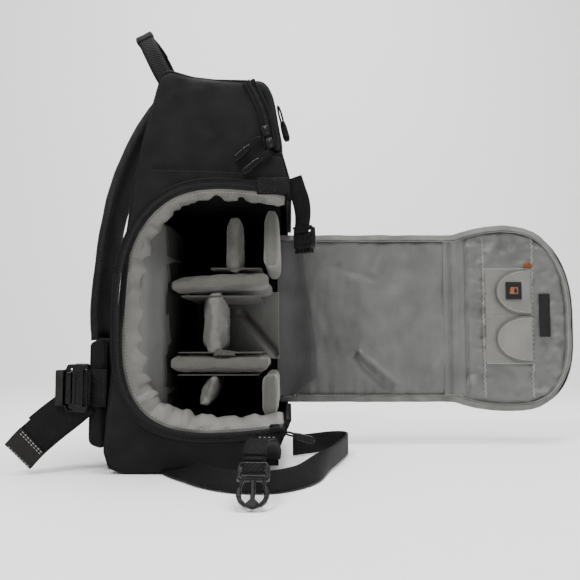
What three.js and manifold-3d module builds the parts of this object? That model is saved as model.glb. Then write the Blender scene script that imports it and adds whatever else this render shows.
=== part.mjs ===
// Side-access camera bag, open: a soft upright body with a padded flap that unzips from the
// front and the near side, hook-and-loop dividers, a sling strap and its buckles.
//
// Millimetres. The origin is the middle of the base, +Z is up, +X points from the wearer's back
// to the front of the bag, and -Y is the near side, where the flap opens the compartment.

import * as THREE from 'three';
import { mergeVertices } from 'three/addons/utils/BufferGeometryUtils.js';
import Module from 'manifold-3d';

const wasm = await Module();
wasm.setup();

// ---------------------------------------------------------------- driving dimensions

const GAP = 0.4;              // between touching pieces
const HALF_DEPTH = 120;       // middle of the bag to each side face
const SIDE_THICK = 7;         // padded side panel
const PANEL_THICK = 10;       // padded back, top, bottom and front panels
const FRONT_X = 97;           // front face
const BASE_BACK_X = -81;
const BASE_FRONT_X = 66;
const TOP_Z = 430;            // top face at the front
const SHELF_Z = 304;          // shelf between the main compartment and the top pocket
const OPENING_LOW_Z = 55;     // front opening, lower and upper edges
const OPENING_HIGH_Z = 294;
const OPENING_BACK_X = -87;   // rearmost point of the side opening
const LID_LOW_Z = 349;        // hinge line of the top pocket's lid
const FLOOR_Z = 52;           // top of the compartment's floor pad

const FLAP_THICK = 12;
const FLAP_SHELL_THICK = 3.6;
const FLAP_BINDING_WIDE = 6;
const FOLD_S = 228;           // flap hinge to the corner fold
const FLAP_SIDE_LENGTH = 168; // corner fold to the flap's round end

const DIVIDER_THICK = 15;
const DIVIDER_NEAR_Y = -72;
const DIVIDER_FAR_Y = 102;
const CELL_BACK_X = -45;      // dividers run from here
const CELL_FRONT_X = 75;      // to here
const UPPER_Z = 208;          // middle of the upper divider
const LOWER_Z = 115;          // middle of the lower divider

const SLING_WIDE = 70;
const SLING_THICK = 18;
const COMPRESSION_WIDE = 20;  // webbing of the two small buckles
const WAIST_WIDE = 25;
const HANDLE_WIDE = 20;
const WEBBING_THICK = 2.4;
const STRAP_Y = -106;         // upper compression strap
const BUCKLE_TURN = -Math.PI * 50 / 180;  // its buckle half hangs turned towards the side
const LOWER_X = 76;           // lower compression strap
const BUCKLE_Y = -118;        // large buckle of the sling

const insideY = HALF_DEPTH - SIDE_THICK - GAP;
const RIM_THICK = 6.6;        // lining round the side opening, behind the closed flap
const rimNearY = -HALF_DEPTH + FLAP_THICK + GAP;
const rimFarY = rimNearY + RIM_THICK + GAP;

// ---------------------------------------------------------------- looks

const looks = {
  shell: { color: 0x1d1d1e, roughness: 0.85, metalness: 0 },
  lowerShell: { color: 0x2c2c2f, roughness: 0.85, metalness: 0 },
  lining: { color: 0x8f9094, roughness: 0.55, metalness: 0 },
  divider: { color: 0x85868a, roughness: 0.75, metalness: 0 },
  webbing: { color: 0x141415, roughness: 0.8, metalness: 0 },
  mesh: { color: 0x101011, roughness: 0.95, metalness: 0 },
  plastic: { color: 0x0d0d0e, roughness: 0.4, metalness: 0 },
  zip: { color: 0x18181a, roughness: 0.6, metalness: 0 },
  orange: { color: 0xd8702a, roughness: 0.7, metalness: 0 },
};

const bag = new THREE.Group();

function addPart(name, geometry, look) {
  const mesh = new THREE.Mesh(geometry, new THREE.MeshStandardMaterial(looks[look]));
  mesh.name = name;
  bag.add(mesh);
  return mesh;
}

// ---------------------------------------------------------------- shape helpers

function outline(points) {
  return new THREE.Shape(points.map(([a, b]) => new THREE.Vector2(a, b)));
}

// A plate drawn in X and Z, between two depths.
function slabXZ(shape, lowY, highY, curveSegments = 12) {
  const options = { depth: highY - lowY, bevelEnabled: false, curveSegments };
  const geometry = new THREE.ExtrudeGeometry(shape, options);
  geometry.rotateX(Math.PI / 2);
  return geometry.translate(0, highY, 0);
}

// A plate drawn in X and Y, between two heights.
function slabXY(shape, lowZ, highZ) {
  const geometry = new THREE.ExtrudeGeometry(shape, { depth: highZ - lowZ, bevelEnabled: false });
  return geometry.translate(0, 0, lowZ);
}

function box(lowX, highX, lowY, highY, lowZ, highZ) {
  const geometry = new THREE.BoxGeometry(highX - lowX, highY - lowY, highZ - lowZ);
  return geometry.translate((lowX + highX) / 2, (lowY + highY) / 2, (lowZ + highZ) / 2);
}

const acrossDepth = () => new THREE.Vector3(0, 1, 0);

// A flat strip bent along a curve. wide(t) is the direction of its width at t from 0 to 1.
function strip(points, width, thickness, wide, steps) {
  const curve = new THREE.CatmullRomCurve3(points.map((p) => new THREE.Vector3(...p)), false, 'centripetal');
  const geometry = new THREE.BoxGeometry(1, thickness, width, steps, 1, 1);
  const place = geometry.attributes.position;
  for (let i = 0; i < place.count; i += 1) {
    const t = Math.min(Math.max(place.getX(i) + 0.5, 0), 1);
    const along = curve.getTangentAt(t);
    const side = wide(t).clone();
    side.addScaledVector(along, -side.dot(along)).normalize();
    const normal = new THREE.Vector3().crossVectors(side, along);
    const at = curve.getPointAt(t);
    at.addScaledVector(normal, place.getY(i)).addScaledVector(side, place.getZ(i));
    place.setXYZ(i, at.x, at.y, at.z);
  }
  return geometry;
}

function solidOf(geometry) {
  const plain = geometry.clone();
  plain.deleteAttribute('normal');
  plain.deleteAttribute('uv');
  const merged = mergeVertices(plain, 1e-4);
  return new wasm.Manifold(new wasm.Mesh({
    numProp: 3,
    vertProperties: new Float32Array(merged.attributes.position.array),
    triVerts: new Uint32Array(merged.index.array),
  }));
}

function geometryOf(solid) {
  const mesh = solid.getMesh();
  const geometry = new THREE.BufferGeometry();
  geometry.setAttribute('position', new THREE.BufferAttribute(mesh.vertProperties, 3));
  geometry.setIndex(new THREE.BufferAttribute(mesh.triVerts, 1));
  return geometry;
}

function cut(geometry, ...tools) {
  return geometryOf(tools.reduce((solid, tool) => solid.subtract(solidOf(tool)), solidOf(geometry)));
}

function join(geometry, ...others) {
  return geometryOf(others.reduce((solid, other) => solid.add(solidOf(other)), solidOf(geometry)));
}

// ---------------------------------------------------------------- body panels

// The back's profile from the base to the top, bottom first.
const backProfile = [[-81, 0], [-97, 6], [-103, 24], [-98, 85], [-91, 158], [-85, 239], [-77, 305],
  [-67, 360], [-47, 436]];
const topProfile = [[-38, 441], [-12, 433], [12, TOP_Z], [52, TOP_Z - 1]];
const lidOuter = [[59, 429], [69, 425], [77, 411], [84, 377], [88, LID_LOW_Z]];
const lidInner = [[78, LID_LOW_Z], [74, 375], [67.5, 405], [62, 413], [57, 416]];
const frontLowerOuter = [[BASE_FRONT_X, 0], [80, 15], [93, 45], [96, OPENING_LOW_Z]];

// The side opening, drawn from its front upper corner round the back to its front lower corner.
// grow moves it outward, and negative values shrink it.
function openingShape(frontX, grow) {
  const shape = new THREE.Shape();
  const back = OPENING_BACK_X - grow;
  shape.moveTo(frontX, OPENING_LOW_Z - grow);
  shape.lineTo(frontX, OPENING_HIGH_Z + grow);
  shape.quadraticCurveTo(60, 309 + grow, 13, 309 + grow);
  shape.bezierCurveTo(-55, 309 + grow, back + 1, 255, back, 185);
  shape.lineTo(back, 150);
  shape.bezierCurveTo(back - 2, 73 - grow, -60, 43 - grow, 4, 42 - grow);
  shape.quadraticCurveTo(60, 42 - grow, frontX, OPENING_LOW_Z - grow);
  return shape;
}

const sideOutline = outline([
  ...frontLowerOuter,
  [83, OPENING_LOW_Z + 2], [83, OPENING_HIGH_Z],
  [96, OPENING_HIGH_Z + 2], [97, 316], [88, LID_LOW_Z - 2],
  ...lidInner.map(([x, z]) => [x - 1, z - 1]), [52, TOP_Z - 1],
  ...[...topProfile.slice(0, 3)].reverse(),
  ...[...backProfile].reverse(),
]);
addPart('far_side_panel', slabXZ(sideOutline, HALF_DEPTH - SIDE_THICK, HALF_DEPTH), 'shell');

const nearSide = slabXZ(sideOutline, -HALF_DEPTH, -HALF_DEPTH + SIDE_THICK);
const nearOpening = slabXZ(openingShape(120, 0), -HALF_DEPTH - 5, -HALF_DEPTH + SIDE_THICK + 5);
addPart('near_side_panel', cut(nearSide, nearOpening), 'shell');

// A padded panel between the side panels, from its outer line and an inner line.
function wallBetweenSides(outer, inner) {
  return slabXZ(outline([...outer, ...inner]), -insideY, insideY);
}

const backInner = backProfile.map(([x, z]) => [x + PANEL_THICK, z]);
const backFootZ = PANEL_THICK + GAP;
const backWall = wallBetweenSides([[-99, backFootZ], ...backProfile.slice(2)],
  [...backInner.slice(2).reverse(), [-89, backFootZ]]);
const rimSpace = slabXZ(openingShape(82, GAP), -HALF_DEPTH, rimFarY);
addPart('back_panel', cut(backWall, rimSpace), 'shell');

addPart('bottom_panel', wallBetweenSides(
  [[BASE_BACK_X, 0], [BASE_FRONT_X, 0], [70.5, 5], [66, PANEL_THICK]],
  [[-96, PANEL_THICK], [-97, 6]]), 'lowerShell');
addPart('front_lower_panel', wallBetweenSides(
  [[71, 5.6], [80, 15], [93, 45], [96, OPENING_LOW_Z - GAP]],
  [[85, OPENING_LOW_Z - GAP], [82.5, 46], [71, 20], [67, 10.6]]), 'lowerShell');
addPart('front_upper_panel', wallBetweenSides(
  [[96, OPENING_HIGH_Z + 2], [97, 316], [88, LID_LOW_Z - GAP]],
  [[78, LID_LOW_Z - GAP], [86, 316], [86, OPENING_HIGH_Z + 2]]), 'shell');
addPart('top_panel', wallBetweenSides(
  [[-36, 440.4], [-12, 433], [12, TOP_Z], [51, TOP_Z - 1]],
  [[51, TOP_Z - 11], [12, TOP_Z - 10], [-12, 423], [-36, 430]]), 'shell');
addPart('compartment_shelf', box(-66, 85.6, rimFarY, insideY, SHELF_Z - 4, SHELF_Z + 4), 'lining');

// ---------------------------------------------------------------- compartment lining

const backPadLine = [[-89, FLOOR_Z + GAP], [-86, 85], [-79.4, 158], [-73.4, 239], [-68.4, 280]];
const backPadBlock = slabXZ(outline([...backPadLine, [CELL_BACK_X - GAP, 280],
  [CELL_BACK_X - GAP, FLOOR_Z + GAP]]), rimFarY, DIVIDER_FAR_Y);
const backPadTaper = outline([[-66, rimFarY - 1], [-20, rimFarY - 1], [-20, DIVIDER_NEAR_Y],
  [CELL_BACK_X - GAP, DIVIDER_NEAR_Y]]);
addPart('back_pad', cut(backPadBlock, slabXY(backPadTaper, 0, SHELF_Z)), 'lining');
addPart('far_pad', box(-66, 82, DIVIDER_FAR_Y + GAP, insideY, FLOOR_Z + GAP, SHELF_Z - 4 - GAP), 'lining');
addPart('floor_pad', box(-84, 78, rimFarY, insideY, FLOOR_Z - 10, FLOOR_Z), 'lining');

// The light rim that lines the edge of the side opening.
const rimOuter = slabXZ(openingShape(82, -1), rimNearY, rimNearY + RIM_THICK);
const rimHole = slabXZ(openingShape(130, -13), rimNearY - 5, rimFarY + 5);
addPart('rim_lining', cut(rimOuter, rimHole), 'lining');

// ---------------------------------------------------------------- dividers

function plateBetween(from, to, thickness, lowY, highY) {
  const [x0, z0] = from;
  const [x1, z1] = to;
  const length = Math.hypot(x1 - x0, z1 - z0);
  const geometry = new THREE.BoxGeometry(length, highY - lowY, thickness);
  geometry.rotateY(-Math.atan2(z1 - z0, x1 - x0));
  return geometry.translate((x0 + x1) / 2, (lowY + highY) / 2, (z0 + z1) / 2);
}

const upperLine = [[CELL_BACK_X + 1, UPPER_Z - 3], [CELL_FRONT_X, UPPER_Z + 5]];
const lowerLine = [[CELL_BACK_X, LOWER_Z], [CELL_FRONT_X, LOWER_Z]];
const midDepth = [DIVIDER_NEAR_Y + 2, DIVIDER_FAR_Y];
addPart('divider_upper', plateBetween(...upperLine, DIVIDER_THICK, DIVIDER_NEAR_Y, DIVIDER_FAR_Y), 'divider');
addPart('divider_lower', plateBetween(...lowerLine, DIVIDER_THICK, DIVIDER_NEAR_Y, DIVIDER_FAR_Y), 'divider');
addPart('divider_top_vertical', box(25, 39, ...midDepth, UPPER_Z + 11, SHELF_Z - 16), 'divider');
addPart('divider_mid_vertical', box(1, 20, ...midDepth, LOWER_Z + 9, UPPER_Z - 10.5), 'divider');
addPart('divider_low_slanted', plateBetween([-3, FLOOR_Z + 13], [11, LOWER_Z - 13], 12, ...midDepth), 'divider');
addPart('end_pad_upper', box(67, 82, DIVIDER_NEAR_Y - 14, DIVIDER_FAR_Y, UPPER_Z + 14, SHELF_Z - 14), 'divider');
addPart('end_pad_lower', box(66, 81, DIVIDER_NEAR_Y - 14, DIVIDER_FAR_Y, FLOOR_Z + 3, LOWER_Z - 9), 'divider');

// ---------------------------------------------------------------- top pocket lid and zips

addPart('top_pocket_lid', slabXZ(outline([...lidOuter, ...lidInner]), -HALF_DEPTH, HALF_DEPTH), 'shell');

function pull(name, top, bottom, across) {
  const cord = strip([top, bottom], 3, 3, acrossDepth, 1);
  const end = new THREE.Vector3(...bottom);
  const along = new THREE.Vector3(...bottom).sub(new THREE.Vector3(...top)).normalize();
  const gripEnd = end.clone().addScaledVector(along, 24);
  const gripStart = end.clone().addScaledVector(along, -1);
  const grip = strip([gripStart.toArray(), gripEnd.toArray()], 3.4, across, acrossDepth, 1);
  addPart(name, join(cord, grip), 'plastic');
}

function slider(name, x, y, z) {
  addPart(name, box(x - 4, x + 4, y - 4, y, z - 6, z + 6), 'plastic');
}

const topTape = new THREE.Shape();
topTape.moveTo(53, 428);
topTape.quadraticCurveTo(70, 411, 77, LID_LOW_Z + 2);
topTape.lineTo(71, LID_LOW_Z + 2);
topTape.quadraticCurveTo(64, 408, 48, 425);
topTape.closePath();
addPart('top_zip_tape', slabXZ(topTape, -HALF_DEPTH - 2.4, -HALF_DEPTH - GAP), 'zip');
const zipFaceY = -HALF_DEPTH - 2.8;
slider('top_slider_a', 74, zipFaceY, 356);
slider('top_slider_b', 69.6, zipFaceY, 370);
const pullY = zipFaceY - 2.6;
pull('top_pull_a', [74, pullY, 347.6], [63, pullY, 338], 8);
pull('top_pull_b', [64, pullY, 363], [53, pullY, 353], 8);
pull('lid_pull', [82.2, -100, 406], [87, -100, 388], 9);

// The zip round the side opening, as a raised cord-edged tape on the near face.
const tapeOuter = slabXZ(openingShape(95, 7), -HALF_DEPTH - 3, -HALF_DEPTH - GAP);
const tapeHole = slabXZ(openingShape(130, 1), -HALF_DEPTH - 8, -HALF_DEPTH + 5);
addPart('main_zip_tape', cut(tapeOuter, tapeHole), 'zip');
slider('main_slider', 80, -HALF_DEPTH - 3.4, 50);
pull('main_pull', [90, pullY, 45], [99, pullY, 42.4], 8);

// ---------------------------------------------------------------- straps

// Padded sling strap: from the top of the back it bows out and runs down to the near lower corner.
addPart('sling_strap', strip([[-67, 0, 430], [-78, -8, 410], [-92, -20, 376], [-105, -36, 330],
  [-113, -50, 280], [-117, -60, 230], [-120, -68, 180], [-120, -72, 152]], SLING_WIDE, SLING_THICK,
acrossDepth, 14), 'mesh');

const hipShape = new THREE.Shape();
hipShape.moveTo(-104, 24);
hipShape.lineTo(-122, 26);
hipShape.lineTo(-124, 132);
hipShape.quadraticCurveTo(-120, 148, -112, 148);
hipShape.quadraticCurveTo(-102, 148, -100, 132);
hipShape.closePath();
addPart('hip_pad', cut(slabXZ(hipShape, -111, -40), strip([[-120, -68, 180], [-120, -72, 140]],
  SLING_WIDE + 10, SLING_THICK + 2, acrossDepth, 1)), 'shell');
addPart('hip_tab', box(-117.8, -104, -114.4, -111.4, 70, 111), 'webbing');

// The large side-release buckle lies along X, its width upright. The male half pulls out to -X.
const femaleBody = box(-136, -118.4, BUCKLE_Y - 6, BUCKLE_Y + 6, 65, 117);
addPart('sling_buckle_female', cut(femaleBody, box(-140, -122, BUCKLE_Y - 3.4, BUCKLE_Y + 3.4, 69, 113)), 'plastic');
const maleShape = outline([[-152, 70], [-137, 66], [-137, 72], [-124, 72], [-124, 79], [-136, 80],
  [-136, 87], [-124, 88], [-124, 94], [-136, 95], [-136, 102], [-124, 103], [-124, 110], [-137, 110],
  [-137, 116], [-152, 112]]);
addPart('sling_buckle_male', slabXZ(maleShape, BUCKLE_Y - 2.6, BUCKLE_Y + 2.6), 'plastic');
addPart('strap_tail', slabXZ(outline([[-152.5, 80], [-174.5, 62], [-185, 54], [-207, 28.5], [-180, 6.6],
  [-141, 46], [-124, 54], [-124, 64.4], [-152.5, 64.4]]), BUCKLE_Y - 1.6, BUCKLE_Y + 1.6), 'webbing');

// Carry handle: a webbing arch across the bag that leans towards the back.
addPart('carry_handle', strip([[-46, -46, 445], [-57, -49, 462], [-73, -42, 496], [-84, -24, 520],
  [-88, 0, 526], [-84, 24, 520], [-73, 42, 496], [-57, 49, 462], [-46, 46, 445]], HANDLE_WIDE, 3.4,
() => new THREE.Vector3(0.88, 0, 0.47), 22), 'webbing');

// Upper compression strap with its half of the buckle, hanging at the near front corner.
addPart('upper_strap_anchor', box(60, 95, -HALF_DEPTH - 5.8, -HALF_DEPTH - 3.4, 299, 318), 'webbing');
addPart('upper_strap', strip([[98.6, STRAP_Y, 316], [106, STRAP_Y, 312], [112, STRAP_Y, 300],
  [113, STRAP_Y, 284], [110, STRAP_Y, 268]], COMPRESSION_WIDE, WEBBING_THICK, acrossDepth, 10), 'webbing');
const upperBuckle = cut(box(-5.2, 5.2, -14, 14, 240, 267.4), box(-3.4, 3.4, -11, 11, 230, 258));
upperBuckle.rotateZ(BUCKLE_TURN);
addPart('upper_buckle_female', upperBuckle.translate(112, STRAP_Y, 0), 'plastic');

// Lower compression strap: it arches out from the near front corner of the base, and its
// buckle half stands on its prongs.
addPart('lower_strap_anchor', box(62, 84, -HALF_DEPTH - 3, -HALF_DEPTH - GAP, 10, 27), 'webbing');
const buckleTop = new THREE.Vector3(LOWER_X - 11, -265, 36);
const lowerRoute = [[LOWER_X, -124.6, 18], [LOWER_X + 1, -138, 28], [LOWER_X - 1, -165, 38],
  [LOWER_X - 6, -206, 46], [LOWER_X - 10, -248, 48], [LOWER_X - 11, buckleTop.y + 1.2, buckleTop.z + 1.7]];
addPart('lower_strap', strip(lowerRoute, COMPRESSION_WIDE, WEBBING_THICK,
  () => new THREE.Vector3(1, 0, 0), 14), 'webbing');
const prongs = outline([[-14, 0], [14, 0], [14, -14], [12, -18], [14, -26], [11, -40], [8, -41],
  [7, -18], [3, -18], [2.4, -36], [-2.4, -36], [-3, -18], [-7, -18], [-8, -41], [-11, -40], [-14, -26],
  [-12, -18], [-14, -14]]);
const lowerMale = new THREE.ExtrudeGeometry(prongs, { depth: 6, bevelEnabled: false });
lowerMale.translate(0, 0, -3);
lowerMale.rotateX(Math.PI / 2);
lowerMale.rotateX(-Math.PI / 5);
lowerMale.translate(buckleTop.x, buckleTop.y, buckleTop.z);
addPart('lower_buckle_male', lowerMale, 'plastic');

// Waist webbing: one loop on its edge on the floor, from under the near side round the corner.
const waistRoute = [[-24, -124, 0], [2, -168, 0], [26, -196, 0], [54, -212, 0], [84, -208, 0],
  [110, -178, 0], [132, -124, 0], [154, -46, 0], [168, 20, 0], [164, 43, 0], [147, 41, 0],
  [124, 20, 0], [100, 0, 0]].map(([x, y]) => [x, y, WAIST_WIDE / 2 + 0.2]);
addPart('waist_webbing', strip(waistRoute, WAIST_WIDE, WEBBING_THICK,
  () => new THREE.Vector3(0, 0, 1), 44), 'webbing');

// ---------------------------------------------------------------- the flap

// The flap is built as it stands open: in the plane of the far side, running to +X. Its lining
// faces the near side. Heights follow the opening that it closes.
const flapOuterY = HALF_DEPTH;
const flapInnerY = HALF_DEPTH - FLAP_THICK;
const shellInnerY = flapOuterY - FLAP_SHELL_THICK;
const foldX = FRONT_X + FOLD_S;

const flapLow = OPENING_LOW_Z + 3;
const flapHigh = OPENING_HIGH_Z - 3;
addPart('flap_front_shell', box(FRONT_X + 3, foldX - 1.5, shellInnerY, flapOuterY, flapLow, flapHigh), 'shell');
addPart('flap_front_lining', box(FRONT_X + 3, foldX - 1.5, flapInnerY, shellInnerY - GAP,
  flapLow + FLAP_BINDING_WIDE + GAP, flapHigh - FLAP_BINDING_WIDE - GAP), 'lining');
for (const [name, low] of [['flap_zip_low', flapLow], ['flap_zip_high', flapHigh - FLAP_BINDING_WIDE]]) {
  addPart(name, box(FRONT_X + 3, foldX - 1.5, flapInnerY + 2, shellInnerY - GAP, low,
    low + FLAP_BINDING_WIDE), 'zip');
}

// The side part ends in the same round shape as the opening. inset shrinks it all round.
function flapSideShape(inset) {
  const start = foldX + 1.5;
  const round = foldX + FLAP_SIDE_LENGTH - inset;
  const high = 305 - inset;
  const low = 45.5 + inset;
  const shape = new THREE.Shape();
  shape.moveTo(start, flapLow + inset);
  shape.quadraticCurveTo(foldX + 30, low, foldX + 78, low);
  shape.bezierCurveTo(foldX + 138, low, round + 1, 76, round, 150);
  shape.lineTo(round, 185);
  shape.bezierCurveTo(round - 1, 253, foldX + 136, high, foldX + 72, high);
  shape.quadraticCurveTo(foldX + 36, high, start, flapHigh - inset);
  return shape;
}

addPart('flap_side_shell', slabXZ(flapSideShape(0), shellInnerY, flapOuterY), 'shell');
const sideLining = slabXZ(flapSideShape(FLAP_BINDING_WIDE + GAP), flapInnerY, shellInnerY - GAP);
addPart('flap_side_lining', sideLining, 'lining');
const sideRing = slabXZ(flapSideShape(0), flapInnerY + 2, shellInnerY - GAP);
addPart('flap_zip_round', cut(sideRing,
  slabXZ(flapSideShape(FLAP_BINDING_WIDE), flapInnerY - 5, shellInnerY + 5),
  box(foldX - 5, foldX + 2, 0, 200, flapLow + 8, flapHigh - 8)), 'zip');

// Card pockets on the side part's lining, each closed by a soft tongue.
const POCKET_LOW_X = foldX + 44;
const POCKET_HIGH_X = foldX + 108;
const pocketFaceY = flapInnerY - GAP;
addPart('card_pocket', box(POCKET_LOW_X, POCKET_HIGH_X, pocketFaceY - 1.6, pocketFaceY, 110, 244), 'lining');
const TONGUE_FOLD_X = POCKET_HIGH_X + 1;
for (const [name, low] of [['card_tongue_upper', 180], ['card_tongue_lower', 114]]) {
  const tongue = new THREE.Shape();
  tongue.moveTo(TONGUE_FOLD_X, low);
  tongue.lineTo(TONGUE_FOLD_X, low + 62);
  tongue.lineTo(TONGUE_FOLD_X - 20, low + 62);
  tongue.absarc(TONGUE_FOLD_X - 20, low + 31, 31, Math.PI / 2, 1.5 * Math.PI, false);
  tongue.closePath();
  addPart(name, slabXZ(tongue, pocketFaceY - 4.2, pocketFaceY - 2), 'lining');
}
addPart('card_icon_patch', box(TONGUE_FOLD_X - 38, TONGUE_FOLD_X - 16, pocketFaceY - 5.4,
  pocketFaceY - 4.2 - GAP, 200, 224), 'webbing');
addPart('orange_tag', box(TONGUE_FOLD_X - 10, TONGUE_FOLD_X + 2, pocketFaceY - 1.4, pocketFaceY, 245, 251), 'orange');
addPart('label_patch', box(TONGUE_FOLD_X + 10, TONGUE_FOLD_X + 25, pocketFaceY - 1.4, pocketFaceY,
  148, 208), 'webbing');

export default bag;
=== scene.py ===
"""Visual model of the camera bag: sagging shell, padded inside, open flap, webbing and buckles."""
import math

import bpy
from mathutils import Matrix, Vector, noise


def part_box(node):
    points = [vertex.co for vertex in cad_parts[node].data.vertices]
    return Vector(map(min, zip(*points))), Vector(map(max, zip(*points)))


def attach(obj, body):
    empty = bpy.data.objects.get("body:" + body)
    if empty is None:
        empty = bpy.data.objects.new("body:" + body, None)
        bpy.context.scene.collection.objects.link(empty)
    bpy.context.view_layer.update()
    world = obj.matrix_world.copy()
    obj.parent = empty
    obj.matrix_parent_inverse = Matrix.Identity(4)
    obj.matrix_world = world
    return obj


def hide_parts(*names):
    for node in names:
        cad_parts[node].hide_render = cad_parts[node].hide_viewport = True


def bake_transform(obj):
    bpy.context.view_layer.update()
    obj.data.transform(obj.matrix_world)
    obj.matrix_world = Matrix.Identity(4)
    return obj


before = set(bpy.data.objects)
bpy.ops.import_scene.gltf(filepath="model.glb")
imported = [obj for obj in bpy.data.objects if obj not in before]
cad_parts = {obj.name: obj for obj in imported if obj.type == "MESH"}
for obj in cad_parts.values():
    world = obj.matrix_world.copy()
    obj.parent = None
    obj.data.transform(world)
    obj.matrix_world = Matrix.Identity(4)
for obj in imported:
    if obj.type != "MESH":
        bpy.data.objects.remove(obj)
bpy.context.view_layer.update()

# driving sizes, in metres
CORNER = 0.009            # rounding where a side panel meets a wall
CORNER_CUT = CORNER * (1 - math.sqrt(0.5))
PIPING = 0.0017           # radius of the corded piping
LINING = 0.0008           # thickness of lining cloth
WEBBING_THICK = 0.0022    # of the compression straps, their anchors and the waist webbing
SHELL = 0.0045            # thickness of the padded shell
SHELL_REST = 0.0004       # gap between the cloth of the base and the floor
STITCH = 0.0024           # length of one stitch
STITCH_GAP = 0.0013
TOOTH_PITCH = 0.0021      # zip coil
CAMERA_LENS = 43.9
CAMERA_AT = (0.096, -0.88, 0.1366)
CAMERA_TILT = math.radians(94.45)

RIGHT = Vector((1, 0, 0))
AWAY = Vector((0, 1, 0))
NEAR = Vector((0, -1, 0))
UP = Vector((0, 0, 1))

scene = bpy.context.scene
side_low, side_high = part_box("near_side_panel")
NEAR_Y = side_low.y
FAR_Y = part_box("far_side_panel")[1].y


# ---------------------------------------------------------------- lines

def cap_loop(node, normal):
    """The longest outline of the flat faces of a CAD node that look along normal."""
    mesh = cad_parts[node].data
    towards = Vector(normal)
    edges = set()
    for face in mesh.polygons:
        if face.normal.dot(towards) < 0.98:
            continue
        keys = [tuple(round(c, 5) for c in mesh.vertices[v].co) for v in face.vertices]
        for a, b in zip(keys, keys[1:] + keys[:1]):
            if (b, a) in edges:
                edges.remove((b, a))
            else:
                edges.add((a, b))
    following = dict(sorted(edges))
    best = []
    while following:
        start = min(following)
        loop = [start]
        key = following.pop(start)
        while key != start and key in following:
            loop.append(key)
            key = following.pop(key)
        if len(loop) > len(best):
            best = loop
    return [Vector(p) for p in best]


def lengths(points):
    """Distance along a line at each of its points."""
    total = [0.0]
    for a, b in zip(points, points[1:]):
        total.append(total[-1] + (b - a).length)
    return total


def resample(points, count, closed=False):
    """count points evenly spaced along a line."""
    points = [Vector(p) for p in points]
    if closed:
        points = points + [points[0]]
    along = lengths(points)
    steps = count if closed else count - 1
    out = []
    seg = 0
    for i in range(count):
        want = along[-1] * i / steps
        while seg < len(points) - 2 and along[seg + 1] < want:
            seg += 1
        span = along[seg + 1] - along[seg]
        out.append(points[seg].lerp(points[seg + 1], (want - along[seg]) / span if span else 0))
    return out


def curve_through(points, count, closed=False):
    """A smooth line (Catmull-Rom) through a few points, evenly resampled."""
    points = [Vector(p) for p in points]
    n = len(points)
    fine = []
    for i in range(n if closed else n - 1):
        if closed:
            a, b, c, d = (points[(i + k) % n] for k in (-1, 0, 1, 2))
        else:
            b, c = points[i], points[i + 1]
            a = points[i - 1] if i else b - (c - b)
            d = points[i + 2] if i + 2 < n else c + (c - b)
        for k in range(16):
            t = k / 16
            fine.append(0.5 * (2 * b + (c - a) * t + (2 * a - 5 * b + 4 * c - d) * t * t
                               + (3 * b - a - 3 * c + d) * t ** 3))
    if not closed:
        fine.append(points[-1])
    return resample(fine, count, closed)


def directions(points, closed=False):
    """The direction of a line at each of its points."""
    n = len(points)
    out = []
    for i in range(n):
        a = points[(i - 1) % n] if closed or i else points[0]
        b = points[(i + 1) % n] if closed or i < n - 1 else points[-1]
        out.append((b - a).normalized())
    return out


def offset_line(points, distance, closed=False):
    """Moves a line in its XZ plane, to the right of its direction when distance is positive."""
    out = []
    for p, d in zip(points, directions(points, closed)):
        out.append(p + Vector((d.z, 0, -d.x)).normalized() * distance)
    return out


def at_y(points, y):
    return [Vector((p.x, y, p.z)) for p in points]


def sideways(points):
    """For each point of a line, the direction in the XZ plane to the right of it."""
    return [Vector((d.z, 0, -d.x)) for d in directions(points)]


def ray_reach(centre, towards, line):
    """How far a ray from centre in the XZ plane runs before it meets the line."""
    best = None
    for a, b in zip(line, line[1:]):
        ex, ez = b.x - a.x, b.z - a.z
        cross = towards.x * ez - towards.z * ex
        if abs(cross) < 1e-12:
            continue
        ax, az = a.x - centre.x, a.z - centre.z
        t = (ax * ez - az * ex) / cross
        u = (ax * towards.z - az * towards.x) / cross
        if t > 0 and -0.001 <= u <= 1.001 and (best is None or t < best):
            best = t
    return best


def rough(p, size, seed=0.0):
    """Smooth noise from -1 to 1 with features of about the given size."""
    return noise.noise(Vector(p) / size + Vector((seed * 7.3, seed * 3.1, seed * 5.7)))


def smooth_step(t):
    """From 0 to 1 with a soft start and end; t outside 0 to 1 is held there."""
    t = min(1.0, max(0.0, t))
    return t * t * (3 - 2 * t)


# ---------------------------------------------------------------- meshes

def mesh_object(name, verts, faces, material, uvs=None):
    mesh = bpy.data.meshes.new(name)
    mesh.from_pydata([tuple(v) for v in verts], [], faces)
    if uvs:
        layer = mesh.uv_layers.new(name="UVMap")
        for loop in mesh.loops:
            layer.data[loop.index].uv = uvs[loop.vertex_index]
    mesh.materials.append(material)
    for face in mesh.polygons:
        face.use_smooth = True
    mesh.validate()
    obj = bpy.data.objects.new(name, mesh)
    scene.collection.objects.link(obj)
    return obj


def apply_modifiers(obj):
    depsgraph = bpy.context.evaluated_depsgraph_get()
    mesh = bpy.data.meshes.new_from_object(obj.evaluated_get(depsgraph))
    old = obj.data
    obj.modifiers.clear()
    obj.data = mesh
    bpy.data.meshes.remove(old)
    return obj


def net(columns, count, place):
    """Rows of points for a grid: place(u, v) with u and v from 0 to 1 along a row and across the rows."""
    return [[place(i / columns, j / count) for i in range(columns + 1)] for j in range(count + 1)]


def thicken(obj, thickness, offset=-1.0):
    solid = obj.modifiers.new("thickness", "SOLIDIFY")
    solid.thickness = thickness
    solid.offset = offset
    return apply_modifiers(obj)


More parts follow.
